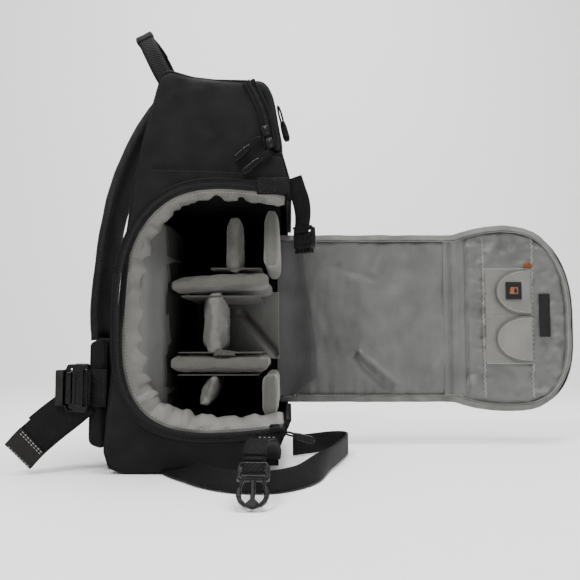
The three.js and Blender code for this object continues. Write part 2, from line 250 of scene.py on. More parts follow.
def grid(name, rows, material, closed=False, thick=0.0, offset=-1.0):
    """A sheet through rows of points; UVs are metres along and across."""
    count = len(rows[0])
    verts = [p for row in rows for p in row]
    uvs = []
    across = 0.0
    for j, row in enumerate(rows):
        if j:
            across += (row[count // 2] - rows[j - 1][count // 2]).length
        uvs += [(s, across) for s in lengths(row)]
    faces = []
    for j in range(len(rows) - 1):
        for i in range(count if closed else count - 1):
            k = (i + 1) % count
            faces.append((j * count + i, j * count + k, (j + 1) * count + k, (j + 1) * count + i))
    obj = mesh_object(name, verts, faces, material, uvs)
    return thicken(obj, thick, offset) if thick else obj


def skin(count, rings, closed=False, base=0):
    """Quads between rings of count points each, and back to the first ring when closed."""
    faces = []
    for i in range(rings if closed else rings - 1):
        here, there = base + i * count, base + (i + 1) % rings * count
        for k in range(count):
            m = (k + 1) % count
            faces.append((here + k, here + m, there + m, there + k))
    return faces


def caps(count, rings, base=0):
    """The end faces of a run of rings."""
    last = base + (rings - 1) * count
    return [tuple(base + k for k in reversed(range(count))), tuple(last + k for k in range(count))]


def tube(name, points, radius, material, closed=False, sides=8):
    """A round cord along a line, with round ends when it is open."""
    dirs = directions(points, closed)
    normal = dirs[0].orthogonal().normalized()
    verts = []
    n = len(points)
    for i, (p, d) in enumerate(zip(points, dirs)):
        normal = (normal - d * normal.dot(d)).normalized()
        side = d.cross(normal)
        r = radius * (0.55 if not closed and i in (0, n - 1) else 1.0)
        for k in range(sides):
            a = 2 * math.pi * k / sides
            verts.append(p + (normal * math.cos(a) + side * math.sin(a)) * r)
    ends = [] if closed else caps(sides, n)
    return mesh_object(name, verts, skin(sides, n, closed) + ends, material)


def ribbon(name, points, across, width, thick, material, wave=0.0):
    """Flat webbing along a line; across is one direction, or a list with one for each point."""
    dirs = directions(points)
    along = lengths(points)
    half, t = width / 2, thick / 2
    section = [(-half, 0), (-half + t * 0.5, -t), (-half / 2, -t), (0, -t * 0.92), (half / 2, -t),
               (half - t * 0.5, -t), (half, 0), (half - t * 0.5, t), (half / 2, t), (0, t * 0.92),
               (-half / 2, t), (-half + t * 0.5, t)]
    verts, uvs = [], []
    count = len(section)
    for i, (p, d) in enumerate(zip(points, dirs)):
        side = across[i] if isinstance(across, list) else Vector(across)
        side = (side - d * side.dot(d)).normalized()
        up = side.cross(d)
        lift = wave * rough((along[i], 0, 0), 0.03, width * 100)
        for u, v in section:
            verts.append(p + side * u + up * (v + lift * (1 - (u / half) ** 2)))
            uvs.append((along[i], u + (0.5 if v > 0 else 0)))
    faces = skin(count, len(points)) + caps(count, len(points))
    return mesh_object(name, verts, faces, material, uvs)


def beads(name, line, out, length, pitch, radius, material, lift=0.0, across=0.0):
    """Small capsules along a line: stitches, or zip teeth when across is given."""
    along = lengths(line)[-1]
    count = max(2, int(along / pitch))
    points = resample(line, count + 1)
    dirs = directions(points)
    verts, faces = [], []
    for i in range(count):
        p = points[i].lerp(points[i + 1], 0.5)
        d = dirs[i]
        n = Vector(out)
        n = (n - d * n.dot(d)).normalized()
        side = n.cross(d)
        long_way, short_way = (side, d) if across else (d, side)
        half = (across or length) / 2
        base = len(verts)
        for s, r in ((-half, 0.35), (-half * 0.6, 1.0), (half * 0.6, 1.0), (half, 0.35)):
            for k in range(6):
                a = math.pi * k / 3
                verts.append(p + long_way * s + n * lift
                             + (short_way * math.cos(a) + n * math.sin(a)) * radius * r)
        faces += skin(6, 4, base=base) + caps(6, 4, base)
    return mesh_object(name, verts, faces, material)


def stitches(name, line, out, material, lift=0.0):
    return beads(name, line, out, STITCH, STITCH + STITCH_GAP, 0.00038, material, lift)


def teeth(name, line, out, material, across=0.0042):
    return beads(name, line, out, 0, TOOTH_PITCH, 0.00085, material, 0.0, across)


def rounded(corners, radius, steps=6):
    """A closed 2D outline with its corners rounded by arcs."""
    out = []
    n = len(corners)
    for i, corner in enumerate(corners):
        p = Vector(corner)
        a = Vector(corners[i - 1]) - p
        b = Vector(corners[(i + 1) % n]) - p
        r = min(radius, a.length / 2, b.length / 2)
        start, end = p + a.normalized() * r, p + b.normalized() * r
        for k in range(steps + 1):
            t = k / steps
            out.append(start * (1 - t) ** 2 + p * 2 * t * (1 - t) + end * t * t)
    return out


def box_outline(width, height, radius, steps=6):
    w, h = width / 2, height / 2
    return rounded([(-w, -h), (w, -h), (w, h), (-w, h)], radius, steps)


def shifted(outline_2d, x, y):
    return [Vector((p[0] + x, p[1] + y)) for p in outline_2d]


def plate(name, outlines, thick, bevel, place, material):
    """A moulded plate: the first outline is the edge, the others are holes; bevelled all round."""
    curve = bpy.data.curves.new(name, "CURVE")
    curve.dimensions = "2D"
    curve.fill_mode = "BOTH"
    curve.extrude = thick / 2 - bevel
    curve.bevel_depth = bevel
    curve.bevel_resolution = 2
    curve.offset = -bevel
    for outline in outlines:
        spline = curve.splines.new("POLY")
        spline.points.add(len(outline) - 1)
        for point, (x, y) in zip(spline.points, outline):
            point.co = (x, y, 0, 1)
        spline.use_cyclic_u = True
    holder = bpy.data.objects.new(name + "_curve", curve)
    scene.collection.objects.link(holder)
    depsgraph = bpy.context.evaluated_depsgraph_get()
    mesh = bpy.data.meshes.new_from_object(holder.evaluated_get(depsgraph))
    bpy.data.objects.remove(holder)
    mesh.transform(place)
    mesh.materials.clear()
    mesh.materials.append(material)
    obj = bpy.data.objects.new(name, mesh)
    scene.collection.objects.link(obj)
    return obj


def frame_at(origin, x_axis, y_axis):
    """The placement of a plate: its own x and y directions and its middle."""
    x = Vector(x_axis).normalized()
    y = Vector(y_axis)
    y = (y - x * y.dot(x)).normalized()
    z = x.cross(y)
    m = Matrix((x, y, z)).transposed().to_4x4()
    m.translation = Vector(origin)
    return m


def upright(origin):
    """The placement of a plate that faces the front of the scene."""
    return frame_at(origin, RIGHT, UP)


def join(name, parts):
    """Makes one piece of several meshes, keeping their materials."""
    verts, faces, slots, uvs, smooth = [], [], [], [], []
    materials = []
    for part in parts:
        base = len(verts)
        mesh = part.data
        verts += [part.matrix_world @ v.co for v in mesh.vertices]
        layer = mesh.uv_layers.active
        for face in mesh.polygons:
            faces.append([base + v for v in face.vertices])
            material = mesh.materials[face.material_index]
            if material not in materials:
                materials.append(material)
            slots.append(materials.index(material))
            smooth.append(face.use_smooth)
            uvs += [tuple(layer.data[k].uv) if layer else (0.0, 0.0) for k in face.loop_indices]
        bpy.data.objects.remove(part)
    mesh = bpy.data.meshes.new(name)
    mesh.from_pydata([tuple(v) for v in verts], [], faces)
    layer = mesh.uv_layers.new(name="UVMap")
    for loop, uv in zip(layer.data, uvs):
        loop.uv = uv
    for material in materials:
        mesh.materials.append(material)
    for face, slot, soft in zip(mesh.polygons, slots, smooth):
        face.material_index = slot
        face.use_smooth = soft
    obj = bpy.data.objects.new(name, mesh)
    scene.collection.objects.link(obj)
    return obj


def fit(obj, body, slot, *nodes):
    """Says which body a piece moves with and the CAD nodes it stands for; slot, its finish, is not used."""
    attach(obj, body)
    if nodes:
        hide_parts(*nodes)
    return obj


# ---------------------------------------------------------------- materials

class Nodes:
    """A small builder for one procedural material."""

    def __init__(self, name, roughness=0.7, sheen=0.0, specular=0.5):
        self.material = bpy.data.materials.new(name)
        self.material.use_nodes = True
        self.tree = self.material.node_tree
        self.shader = self.tree.nodes["Principled BSDF"]
        self.shader.inputs["Roughness"].default_value = roughness
        self.shader.inputs["Sheen Weight"].default_value = sheen
        self.shader.inputs["Sheen Roughness"].default_value = 0.5
        self.shader.inputs["Specular IOR Level"].default_value = specular
        self.coords = self.tree.nodes.new("ShaderNodeTexCoord")
        self.height = None

    def add(self, kind, values=None, links=None):
        node = self.tree.nodes.new(kind)
        for key, value in (values or {}).items():
            node.inputs[key].default_value = value
        for key, source in (links or {}).items():
            self.tree.links.new(source, node.inputs[key])
        return node

    def space(self, kind="Object", scale=(1, 1, 1), turn=(0, 0, 0)):
        return self.add("ShaderNodeMapping", {"Scale": scale, "Rotation": turn},
                        {"Vector": self.coords.outputs[kind]}).outputs["Vector"]

    def noise(self, size, detail=3.0, vector=None):
        return self.add("ShaderNodeTexNoise", {"Scale": 1 / size, "Detail": detail},
                        {"Vector": vector or self.coords.outputs["Object"]}).outputs["Fac"]

    def bands(self, period, direction, vector=None):
        node = self.add("ShaderNodeTexWave", {"Scale": 2 * math.pi / 20 / period},
                        {"Vector": vector or self.coords.outputs["Object"]})
        node.bands_direction = direction
        return node.outputs["Fac"]

    def math(self, operation, a, b):
        node = self.tree.nodes.new("ShaderNodeMath")
        node.operation = operation
        for socket, value in zip(node.inputs, (a, b)):
            if isinstance(value, (int, float)):
                socket.default_value = value
            else:
                self.tree.links.new(value, socket)
        return node.outputs[0]

    def blend(self, factor, stops):
        ramp = self.add("ShaderNodeValToRGB", None, {"Fac": factor})
        elements = ramp.color_ramp.elements
        while len(elements) < len(stops):
            elements.new(0.5)
        for element, (place, color) in zip(elements, stops):
            element.position = place
            element.color = (*color, 1)
        return ramp.outputs["Color"]

    def mottle(self, factor, color, low, high, start=0.3, end=0.7):
        """A colour that runs from low to high times itself as factor goes from start to end."""
        return self.blend(factor, [(start, tint(color, low)), (end, tint(color, high))])

    def grey(self, factor, low, high, start=0.3, end=0.7):
        """A grey that runs from low to high as factor goes from start to end, also for a roughness."""
        return self.blend(factor, [(start, (low,) * 3), (end, (high,) * 3)])

    def shade(self, color, factor, low, high):
        """Multiplies a colour by a grey that runs from low to high with factor."""
        grey = self.grey(factor, low, high, 0.25, 0.75)
        mix = self.tree.nodes.new("ShaderNodeMix")
        mix.data_type = "RGBA"
        mix.blend_type = "MULTIPLY"
        mix.inputs["Factor"].default_value = 1.0
        self.tree.links.new(color, mix.inputs["A"])
        self.tree.links.new(grey, mix.inputs["B"])
        return mix.outputs["Result"]

    def bump(self, height, depth, strength=1.0):
        links = {"Height": height}
        if self.height:
            links["Normal"] = self.height
        self.height = self.add("ShaderNodeBump", {"Strength": strength, "Distance": depth},
                               links).outputs["Normal"]

    def done(self, color, roughness=None):
        self.tree.links.new(color, self.shader.inputs["Base Color"])
        if roughness is not None:
            self.tree.links.new(roughness, self.shader.inputs["Roughness"])
        if self.height:
            self.tree.links.new(self.height, self.shader.inputs["Normal"])
        return self.material


def tint(color, factor):
    return tuple(c * factor for c in color)


def weave_height(m, period):
    """Threads crossing along all three axes, for a weave on any face."""
    total = m.math("ADD", m.bands(period, "X"), m.bands(period, "Z"))
    return m.math("ADD", total, m.bands(period, "Y"))


def woven(name, color, period=0.0011, depth=0.00025, rough_at=0.74, sheen=0.03, wrinkle=0.0006,
          specular=0.13):
    """Plain-woven bag cloth: a fine weave, soft creases, and uneven wear in colour and gloss."""
    m = Nodes(name, rough_at, sheen, specular)
    weave = weave_height(m, period)
    m.bump(m.noise(0.03, 4.0), wrinkle, 0.9)
    m.bump(weave, depth, 0.8)
    base = m.shade(m.mottle(m.noise(0.06, 5.0), color, 0.78, 1.25), weave, 0.8, 1.1)
    return m.done(base, m.grey(m.noise(0.02), rough_at - 0.12, rough_at + 0.12))


def satin_nylon(name, color, rough_at=0.42, sheen=0.1, specular=0.6):
    """Coated lining nylon: a tight weave with a dull shine and small directional creases."""
    m = Nodes(name, rough_at, sheen, specular)
    m.bump(m.noise(0.045, 1.0, m.space(scale=(1, 1, 0.5), turn=(0, 0.5, 0))), 0.005, 0.7)
    creases = m.noise(0.014, 3.0, m.space(scale=(1, 1, 0.45), turn=(0, 0.6, 0)))
    m.bump(creases, 0.0008, 0.6)
    weave = weave_height(m, 0.0008)
    m.bump(weave, 0.00012, 0.6)
    # the colour varies with noise from 0.78 to 1.2 times itself: partly uneven tone, partly painted
    # highlight for the satin's shine
    base = m.shade(m.mottle(m.noise(0.04, 4.0), color, 0.78, 1.2, 0.32, 0.68), weave, 0.93, 1.03)
    return m.done(base, m.grey(m.noise(0.02, 2.0), rough_at - 0.02, rough_at + 0.12, 0.2, 0.8))


def brushed(name, color):
    """Brushed loop cloth, which hook tape grips: a short matt nap."""
    m = Nodes(name, 0.92, 0.25, 0.2)
    nap = m.noise(0.0012, 6.0)
    m.bump(m.noise(0.02, 3.0), 0.0007, 0.8)
    m.bump(nap, 0.00035, 0.9)
    return m.done(m.shade(m.mottle(m.noise(0.03, 5.0), color, 0.85, 1.12), nap, 0.82, 1.1))


def hook_tape(name, color):
    """Hook tape: rows of tiny stiff hooks."""
    m = Nodes(name, 0.6, 0.1)
    rows = m.math("MULTIPLY", m.bands(0.0016, "X"), m.bands(0.0016, "Y"))
    m.bump(rows, 0.0004)
    return m.done(m.shade(m.mottle(m.noise(0.02), color, 1.0, 1.3), rows, 0.6, 1.2))


def webbing(name, color, rib=0.0014):
    """Narrow woven webbing: ribs along it, crossed by weft."""
    m = Nodes(name, 0.62, 0.0, 0.11)
    uv = m.space("UV")
    ribs = m.bands(rib, "Y", uv)
    weft = m.bands(0.0021, "DIAGONAL", m.space("UV", (1, 1, 0)))
    cloth = m.math("MULTIPLY", m.math("ADD", ribs, 0.5), m.math("ADD", weft, 0.5))
    m.bump(cloth, 0.0003, 0.9)
    return m.done(m.shade(m.mottle(m.noise(0.02, 4.0), color, 0.8, 1.3), cloth, 0.7, 1.15))


def spacer_mesh(name, color):
    """Air mesh: rows of small round cells in a knitted ground."""
    m = Nodes(name, 0.8, 0.05, 0.18)
    cells = m.add("ShaderNodeTexVoronoi", {"Scale": 300.0, "Randomness": 0.15},
                  {"Vector": m.space(turn=(0.5, 0.6, 0.4))})
    cells.feature = "SMOOTH_F1"
    hole = cells.outputs["Distance"]
    m.bump(m.noise(0.03), 0.0006, 0.6)
    m.bump(hole, 0.0007, 0.9)
    return m.done(m.shade(m.mottle(hole, color, 2.2, 0.5, 0.1, 0.5), m.noise(0.04), 0.8, 1.2))


def moulded(name, color, rough_at=0.38):
    """Moulded acetal: a fine spark-eroded skin with scuffs."""
    m = Nodes(name, rough_at, 0.0, 0.2)
    m.bump(m.noise(0.0006, 2.0), 0.00006, 0.6)
    scuff = m.noise(0.004, 6.0, m.space(scale=(1, 3, 1)))
    return m.done(m.mottle(scuff, color, 1.0, 1.7, 0.35, 0.75),
                  m.grey(scuff, rough_at - 0.06, rough_at + 0.2))


def painted_shade_cloth(name, dark, light, x_dark, x_light):
    """Lining deep in a cell, coloured with painted shade: dark at the back, lighter towards the front."""
    m = Nodes(name, 0.6, 0.05, 0.25)
    x = m.add("ShaderNodeSeparateXYZ", None, {"Vector": m.coords.outputs["Object"]}).outputs["X"]
    uneven = m.math("ADD", x, m.math("MULTIPLY", m.noise(0.03, 4.0), 0.03))
    place = m.math("DIVIDE", m.math("SUBTRACT", uneven, x_dark), x_light - x_dark)
    m.bump(m.noise(0.02, 4.0), 0.0006, 0.8)
    m.bump(weave_height(m, 0.0009), 0.00012, 0.5)
    return m.done(m.blend(place, [(0.0, dark), (1.0, light)]))


def thread(name, color):
    m = Nodes(name, 0.6, 0.05, 0.2)
    twist = m.bands(0.0007, "DIAGONAL")
    m.bump(twist, 0.0001)
    return m.done(m.shade(m.mottle(m.noise(0.01), color, 1.0, 1.2), twist, 0.75, 1.15))


def enamel(name, color):
    """Painted zip metal with worn spots."""
    m = Nodes(name, 0.3, 0.0, 0.3)
    m.shader.inputs["Coat Weight"].default_value = 0.1
    wear = m.noise(0.003, 5.0)
    m.bump(wear, 0.0001, 0.4)
    return m.done(m.mottle(wear, color, 1.0, 1.8, 0.5, 0.85), m.grey(wear, 0.22, 0.45))


def studio(name, color):
    m = Nodes(name, 0.65, 0.0, 0.3)
    return m.done(m.mottle(m.noise(0.8, 2.0), color, 0.985, 1.0))


BLACK = (0.0060, 0.0061, 0.0065)
shell_cloth = woven("shell_cloth", BLACK)
dark_cloth = woven("dark_gray_cloth", (0.014, 0.014, 0.0147), 0.0014, 0.0003)
inner_black = woven("inner_black_cloth", (0.004, 0.004, 0.0043), 0.001, 0.0001, 0.9, 0.0, 0.0006, 0.05)
lining_gray = satin_nylon("lining_nylon", (0.082, 0.0835, 0.078), 0.34)
# back wall lining: the lining nylon darkened as painted shade, with less sheen and shine
back_shade_gray = satin_nylon("back_wall_shaded_nylon", (0.033, 0.0335, 0.031), 0.5, 0.0, 0.22)
# cell lining: painted shade, dark at the back of the cell and lighter towards the front
cell_shade_cloth = painted_shade_cloth("cell_lining_painted_shade", (0.012, 0.012, 0.0115), (0.115, 0.114, 0.106), 0.015,
                          0.085)
rim_gray = satin_nylon("rim_nylon", (0.138, 0.135, 0.122), 0.36)
divider_cloth = brushed("divider_loop_cloth", (0.104, 0.101, 0.090))
divider_satin = satin_nylon("divider_satin", (0.115, 0.112, 0.101), 0.36)
tab_tape = hook_tape("hook_tape", (0.05, 0.045, 0.038))
black_webbing = webbing("black_webbing", (0.0048, 0.0048, 0.0050))
edge_binding = webbing("gray_binding", (0.128, 0.129, 0.121), 0.001)
black_binding = webbing("black_binding", (0.0085, 0.0085, 0.009), 0.001)
air_mesh = spacer_mesh("air_mesh", (0.007, 0.007, 0.0073))
plastic = moulded("moulded_plastic", (0.0030, 0.0030, 0.0032), 0.26)
coil = moulded("zip_coil", (0.009, 0.009, 0.0095), 0.42)
slider_paint = enamel("slider_enamel", (0.005, 0.005, 0.0055))
black_thread = thread("black_thread", (0.012, 0.012, 0.0125))
gray_thread = thread("gray_thread", (0.34, 0.34, 0.32))
divider_thread = thread("divider_thread", (0.13, 0.127, 0.114))
orange_tape = webbing("orange_tape", (0.26, 0.070, 0.025), 0.0008)
# hinge lining: the lining nylon darkened as painted shade where the flap turns from the body
hinge_shade_gray = satin_nylon("hinge_shaded_nylon", (0.052, 0.053, 0.052), 0.5, 0.0, 0.3)
pocket_gray = woven("pocket_ripstop", (0.135, 0.133, 0.122), 0.0016, 0.00018, 0.6, 0.1, 0.0002, 0.4)
patch_black = woven("label_cloth", (0.006, 0.006, 0.0065), 0.0007, 0.0001, 0.5, 0.02, 0.0001, 0.2)
orange_mark = thread("orange_mark_thread", (0.20, 0.075, 0.035))
hem_webbing = webbing("hem_webbing", (0.014, 0.0135, 0.0125))
studio_white = studio("studio_white", (0.94, 0.935, 0.925))


# ---------------------------------------------------------------- soft forms

def clockwise(loop):
    """Turns a closed outline so that it runs up the back, forward along the top and down."""
    area = sum(a.x * b.z - b.x * a.z for a, b in zip(loop, loop[1:] + loop[:1]))
    return loop if area < 0 else loop[::-1]


def dome(distance, radius):
    """Height from 0 to 1 of a rounded edge, by distance from it."""
    return math.sqrt(max(0.0, 1 - (1 - min(1.0, distance / radius)) ** 2))


def valley(x, z, a, b, width):
    """1 on the line from a to b in the XZ plane, fading to 0 at about twice the width."""
    ax, az = a
    bx, bz = b
    span = (bx - ax) ** 2 + (bz - az) ** 2
    t = min(1.0, max(0.0, ((x - ax) * (bx - ax) + (z - az) * (bz - az)) / span))
    gap = (x - ax - (bx - ax) * t) ** 2 + (z - az - (bz - az) * t) ** 2
    return math.exp(-gap / (width * width))


def pad_panel(name, loop, y, facing, material, height, rings=44, around=260, thick=0.0):
    """A padded face: height(x, z, distance from the rim) lifts it from the plane y towards facing."""
    line = resample(clockwise(loop), around, True)
    low = Vector((min(p.x for p in line), y, min(p.z for p in line)))
    high = Vector((max(p.x for p in line), y, max(p.z for p in line)))
    centre = (low + high) / 2
    rows = []
    for k in range(rings + 1):
        t = 1 - (1 - k / rings) ** 1.35
        row = []
        for p in line:
            q = centre.lerp(Vector((p.x, y, p.z)), max(t, 0.002))
            lift = height(q.x, q.z, (1 - t) * (p - centre).length * 0.9)
            row.append(Vector((q.x, y + facing * lift, q.z)))
        rows.append(row)
    if facing > 0:
        rows.reverse()
    return grid(name, rows, material, True, thick)


def remeshed(node, name, material, voxel, smoothing=4):
    """A soft-cornered copy of a CAD solid, in even quads."""
    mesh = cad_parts[node].data.copy()
    mesh.name = name
    obj = bpy.data.objects.new(name, mesh)
    scene.collection.objects.link(obj)
    weld = obj.modifiers.new("weld", "WELD")
    weld.merge_threshold = 0.00005
    remesh = obj.modifiers.new("remesh", "REMESH")
    remesh.mode = "VOXEL"
    remesh.voxel_size = voxel
    smooth = obj.modifiers.new("smooth", "SMOOTH")
    smooth.factor = 0.5
    smooth.iterations = smoothing
    apply_modifiers(obj)
    obj.data.materials.clear()
    obj.data.materials.append(material)
    return obj


def finish_soft(obj, wrinkle, size, seed):
    """One subdivision, small creases along the surface, and smooth shading."""
    obj.modifiers.new("round", "SUBSURF").levels = 1
    apply_modifiers(obj)
    mesh = obj.data
    moves = []
    for v in mesh.vertices:
        lift = rough(v.co, size, seed) + 0.45 * rough(v.co, size * 0.4, seed + 2)
        moves.append(v.co + v.normal * wrinkle * lift)
    for v, co in zip(mesh.vertices, moves):
        v.co = co
    for face in mesh.polygons:
        face.use_smooth = True
    return obj


def soft_copy(node, name, material, voxel, wrinkle, size, seed):
    """A rounded, lightly wrinkled copy of a CAD solid, without a simulation."""
    return finish_soft(remeshed(node, name, material, voxel), wrinkle, size, seed)


STUFFING_STEPS = 20       # frames of cloth simulation in a stuffed piece


def stuffed(node, name, material, voxel, pressure, cap, wrinkle, size, seed):
    """A stuffed copy of a CAD solid: cloth blown up from inside, which draws its own wrinkles.

    The cloth starts a little inside the solid, and no point of it moves further than cap.
    """
    obj = remeshed(node, name, material, voxel, 3)
    mesh = obj.data
    for v, co in zip(mesh.vertices, [v.co - v.normal * 0.0015 for v in mesh.vertices]):
        v.co = co
    start = [v.co.copy() for v in mesh.vertices]
    cloth = obj.modifiers.new("cloth", "CLOTH")
    cloth.settings.quality = 5
    cloth.settings.mass = 0.15
    cloth.settings.tension_stiffness = 18
    cloth.settings.compression_stiffness = 18
    cloth.settings.bending_stiffness = 0.05
    cloth.settings.use_pressure = True
    cloth.settings.uniform_pressure_force = pressure
    cloth.settings.effector_weights.gravity = 0
    cloth.point_cache.frame_start = 1
    cloth.point_cache.frame_end = STUFFING_STEPS
    for step in range(1, STUFFING_STEPS + 1):
        scene.frame_set(step)
    apply_modifiers(obj)
    scene.frame_set(1)
    mesh = obj.data
    for v, rest in zip(mesh.vertices, start):
        move = v.co - rest
        if move.length > cap:
            v.co = rest + move.normalized() * cap
    return finish_soft(obj, wrinkle, size, seed)


# ---------------------------------------------------------------- body shell

outline = [p for p in clockwise(cap_loop("far_side_panel", AWAY))
           if not (p.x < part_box("front_upper_panel")[1].x - 0.008 and 0.05 < p.z < 0.3 and p.x > 0)]


def nearest(points, x, z):
    """The index of the point closest to a place in the XZ plane."""
    return min(range(len(points)), key=lambda i: (points[i].x - x) ** 2 + (points[i].z - z) ** 2)


def stretch(start, end):
    """The part of the side outline that runs clockwise between two places."""
    i, j = nearest(outline, *start), nearest(outline, *end)
    return outline[i:j + 1] if i <= j else outline[i:] + outline[:j + 1]


top_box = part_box("top_panel")
front_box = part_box("front_upper_panel")
lower_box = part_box("front_lower_panel")
BASE_BACK = (side_low.x + 0.022, 0.0)
BASE_FRONT = (0.066, 0.0)
TOP_BACK = (-0.038, side_high.z)
TOP_FRONT = (top_box[1].x, top_box[0].z + 0.01)
LID_LOW = (0.088, front_box[1].z)
FRONT_HIGH = (front_box[1].x - 0.001, front_box[0].z)
FRONT_LOW = (lower_box[1].x, lower_box[1].z)


def tuck(distance):
    """How far a rounded body corner has drawn in at a distance from its edge."""
    if distance >= CORNER:
        return 0.0
    return CORNER - math.sqrt(max(0.0, CORNER ** 2 - (CORNER - distance) ** 2))


def wall(name, line, material, bulge, seed, count=70):
    """A wall of the shell, from one side panel to the other, crowned in the middle."""
    line = resample(line, count)
    inward = [Vector((d.z, 0, -d.x)).normalized() for d in directions(line)]
    rows = []
    steps = 36
    for k in range(steps + 1):
        v = 0.5 - 0.5 * math.cos(math.pi * k / steps)
        y = NEAR_Y + CORNER_CUT + (FAR_Y - NEAR_Y - 2 * CORNER_CUT) * v
        edge = min(y - NEAR_Y, FAR_Y - y)
        row = []
        for i, (p, n) in enumerate(zip(line, inward)):
            hold = min(1.0, 4 * i / count, 4 * (count - 1 - i) / count)
            swell = bulge * math.sin(math.pi * v) * smooth_step(hold)
            crease = 0.0012 * hold * min(1.0, edge / 0.02) * rough((p.x, y, p.z), 0.035, seed)
            place = Vector((p.x, y, p.z)) + n * (tuck(edge) - swell - crease)
            place.z = max(place.z, SHELL_REST)
            row.append(place)
        rows.append(row)
    return grid(name, rows, material, thick=SHELL)


def cross_piping(name, place, material):
    """Corded piping across the body, where two walls meet."""
    p = outline[nearest(outline, *place)]
    line = [Vector((p.x, y, p.z)) for y in (NEAR_Y + 0.004, -0.06, 0.0, 0.06, FAR_Y - 0.004)]
    return tube(name, curve_through(line, 24), PIPING, material)


def build_walls():
    """The walls between the two side panels, and the piping where they meet."""
    back = stretch(BASE_BACK, TOP_BACK)
    fit(wall("back_shell", back, shell_cloth, 0.0, 1, 110), "root", "shell", "back_panel")
    fit(wall("top_shell", stretch(TOP_BACK, TOP_FRONT), shell_cloth, 0.003, 2), "root", "shell", "top_panel")
    fit(wall("front_upper_shell", stretch(LID_LOW, FRONT_HIGH), shell_cloth, 0.0, 3, 30), "root", "shell",
        "front_upper_panel")
    fit(wall("front_lower_shell", stretch(FRONT_LOW, BASE_FRONT), dark_cloth, 0.001, 4), "root",
        "lower_shell", "front_lower_panel")
    fit(wall("bottom_shell", stretch(BASE_FRONT, BASE_BACK), dark_cloth, 0.0, 5), "root", "lower_shell",
        "bottom_panel")
    for name, place in (("top_back_piping", TOP_BACK), ("top_front_piping", TOP_FRONT),
                        ("front_low_piping", FRONT_LOW), ("front_high_piping", FRONT_HIGH)):
        fit(cross_piping(name, place, black_binding), "root", "shell")


near_loop = clockwise(cap_loop("near_side_panel", NEAR))


def on_outline(p):
    """Whether a point lies on the body's side outline."""
    closed = outline + [outline[0]]
    for a, b in zip(closed, closed[1:]):
        e = Vector((b.x - a.x, 0, b.z - a.z))
        t = min(1.0, max(0.0, ((p.x - a.x) * e.x + (p.z - a.z) * e.z) / e.length_squared))
        if math.hypot(p.x - a.x - e.x * t, p.z - a.z - e.z * t) < 0.0008:
            return True
    return False


def opening_line():
    """The D-shaped edge of the main opening, from the lower front round the back to the upper front."""
    flags = [on_outline(p) for p in near_loop]
    n = len(near_loop)
    start = next(i for i in range(n) if flags[i - 1] and not flags[i])
    line = []
    while not flags[start % n]:
        line.append(near_loop[start % n])
        start += 1
    if line[0].z > line[-1].z:
        line.reverse()
    return line


opening = resample(opening_line(), 280)
lid_gap = [p for p in near_loop if p.z > LID_LOW[1] - 0.003 and 0.05 < p.x < 0.0889]
SEAM_Z = front_box[0].z + 0.033
SEAM_FRONT = 0.05
SEAM_BACK = -0.053
PANEL_CENTRE = Vector((0.02, 0, 0.18))


def turning(points, centre):
    """The points of a clockwise outline without those whose bearing from a centre turns back."""
    kept = [points[0]]
    for p in points[1:]:
        last = kept[-1] - centre
        if (p.x - centre.x) * last.z - (p.z - centre.z) * last.x > 1e-7:
            kept.append(p)
    return kept


def side_outer():
    """The outer edge of a side panel, lower front to upper front, with the notch for the lid."""
    path = (stretch(FRONT_LOW, TOP_FRONT) + sorted(lid_gap, key=lambda p: -p.z + p.x * 0.2)
            + stretch(LID_LOW, FRONT_HIGH))
    return turning(resample(path, 400), PANEL_CENTRE)


def swelling(x, z, centre, reach):
    """1 at a centre, fading to 0 at the given reach along x and z."""
    away = ((x - centre[0]) / reach[0]) ** 2 + ((z - centre[1]) / reach[1]) ** 2
    return smooth_step(1 - math.sqrt(away))


def near_height(x, z):
    """How far the near panel stands out: it fills above and below the opening, and creases a little."""
    above = swelling(x, z, (0.0, 0.378), (0.085, 0.085))
    below = swelling(x, z, (0.0, 0.018), (0.11, 0.045))
    out = 0.0045 * above + 0.003 * below + 0.0004
    uneven = 0.0022 * rough((x, 0, z), 0.045, 4) + 0.0008 * rough((x, 0, z), 0.017, 5)
    out += (above + 0.6 * below) * uneven
    if SEAM_BACK - 0.004 < x < SEAM_FRONT:
        out -= 0.0016 * valley(x, z, (SEAM_BACK, SEAM_Z), (SEAM_FRONT, SEAM_Z - 0.003), 0.0022)
    return out


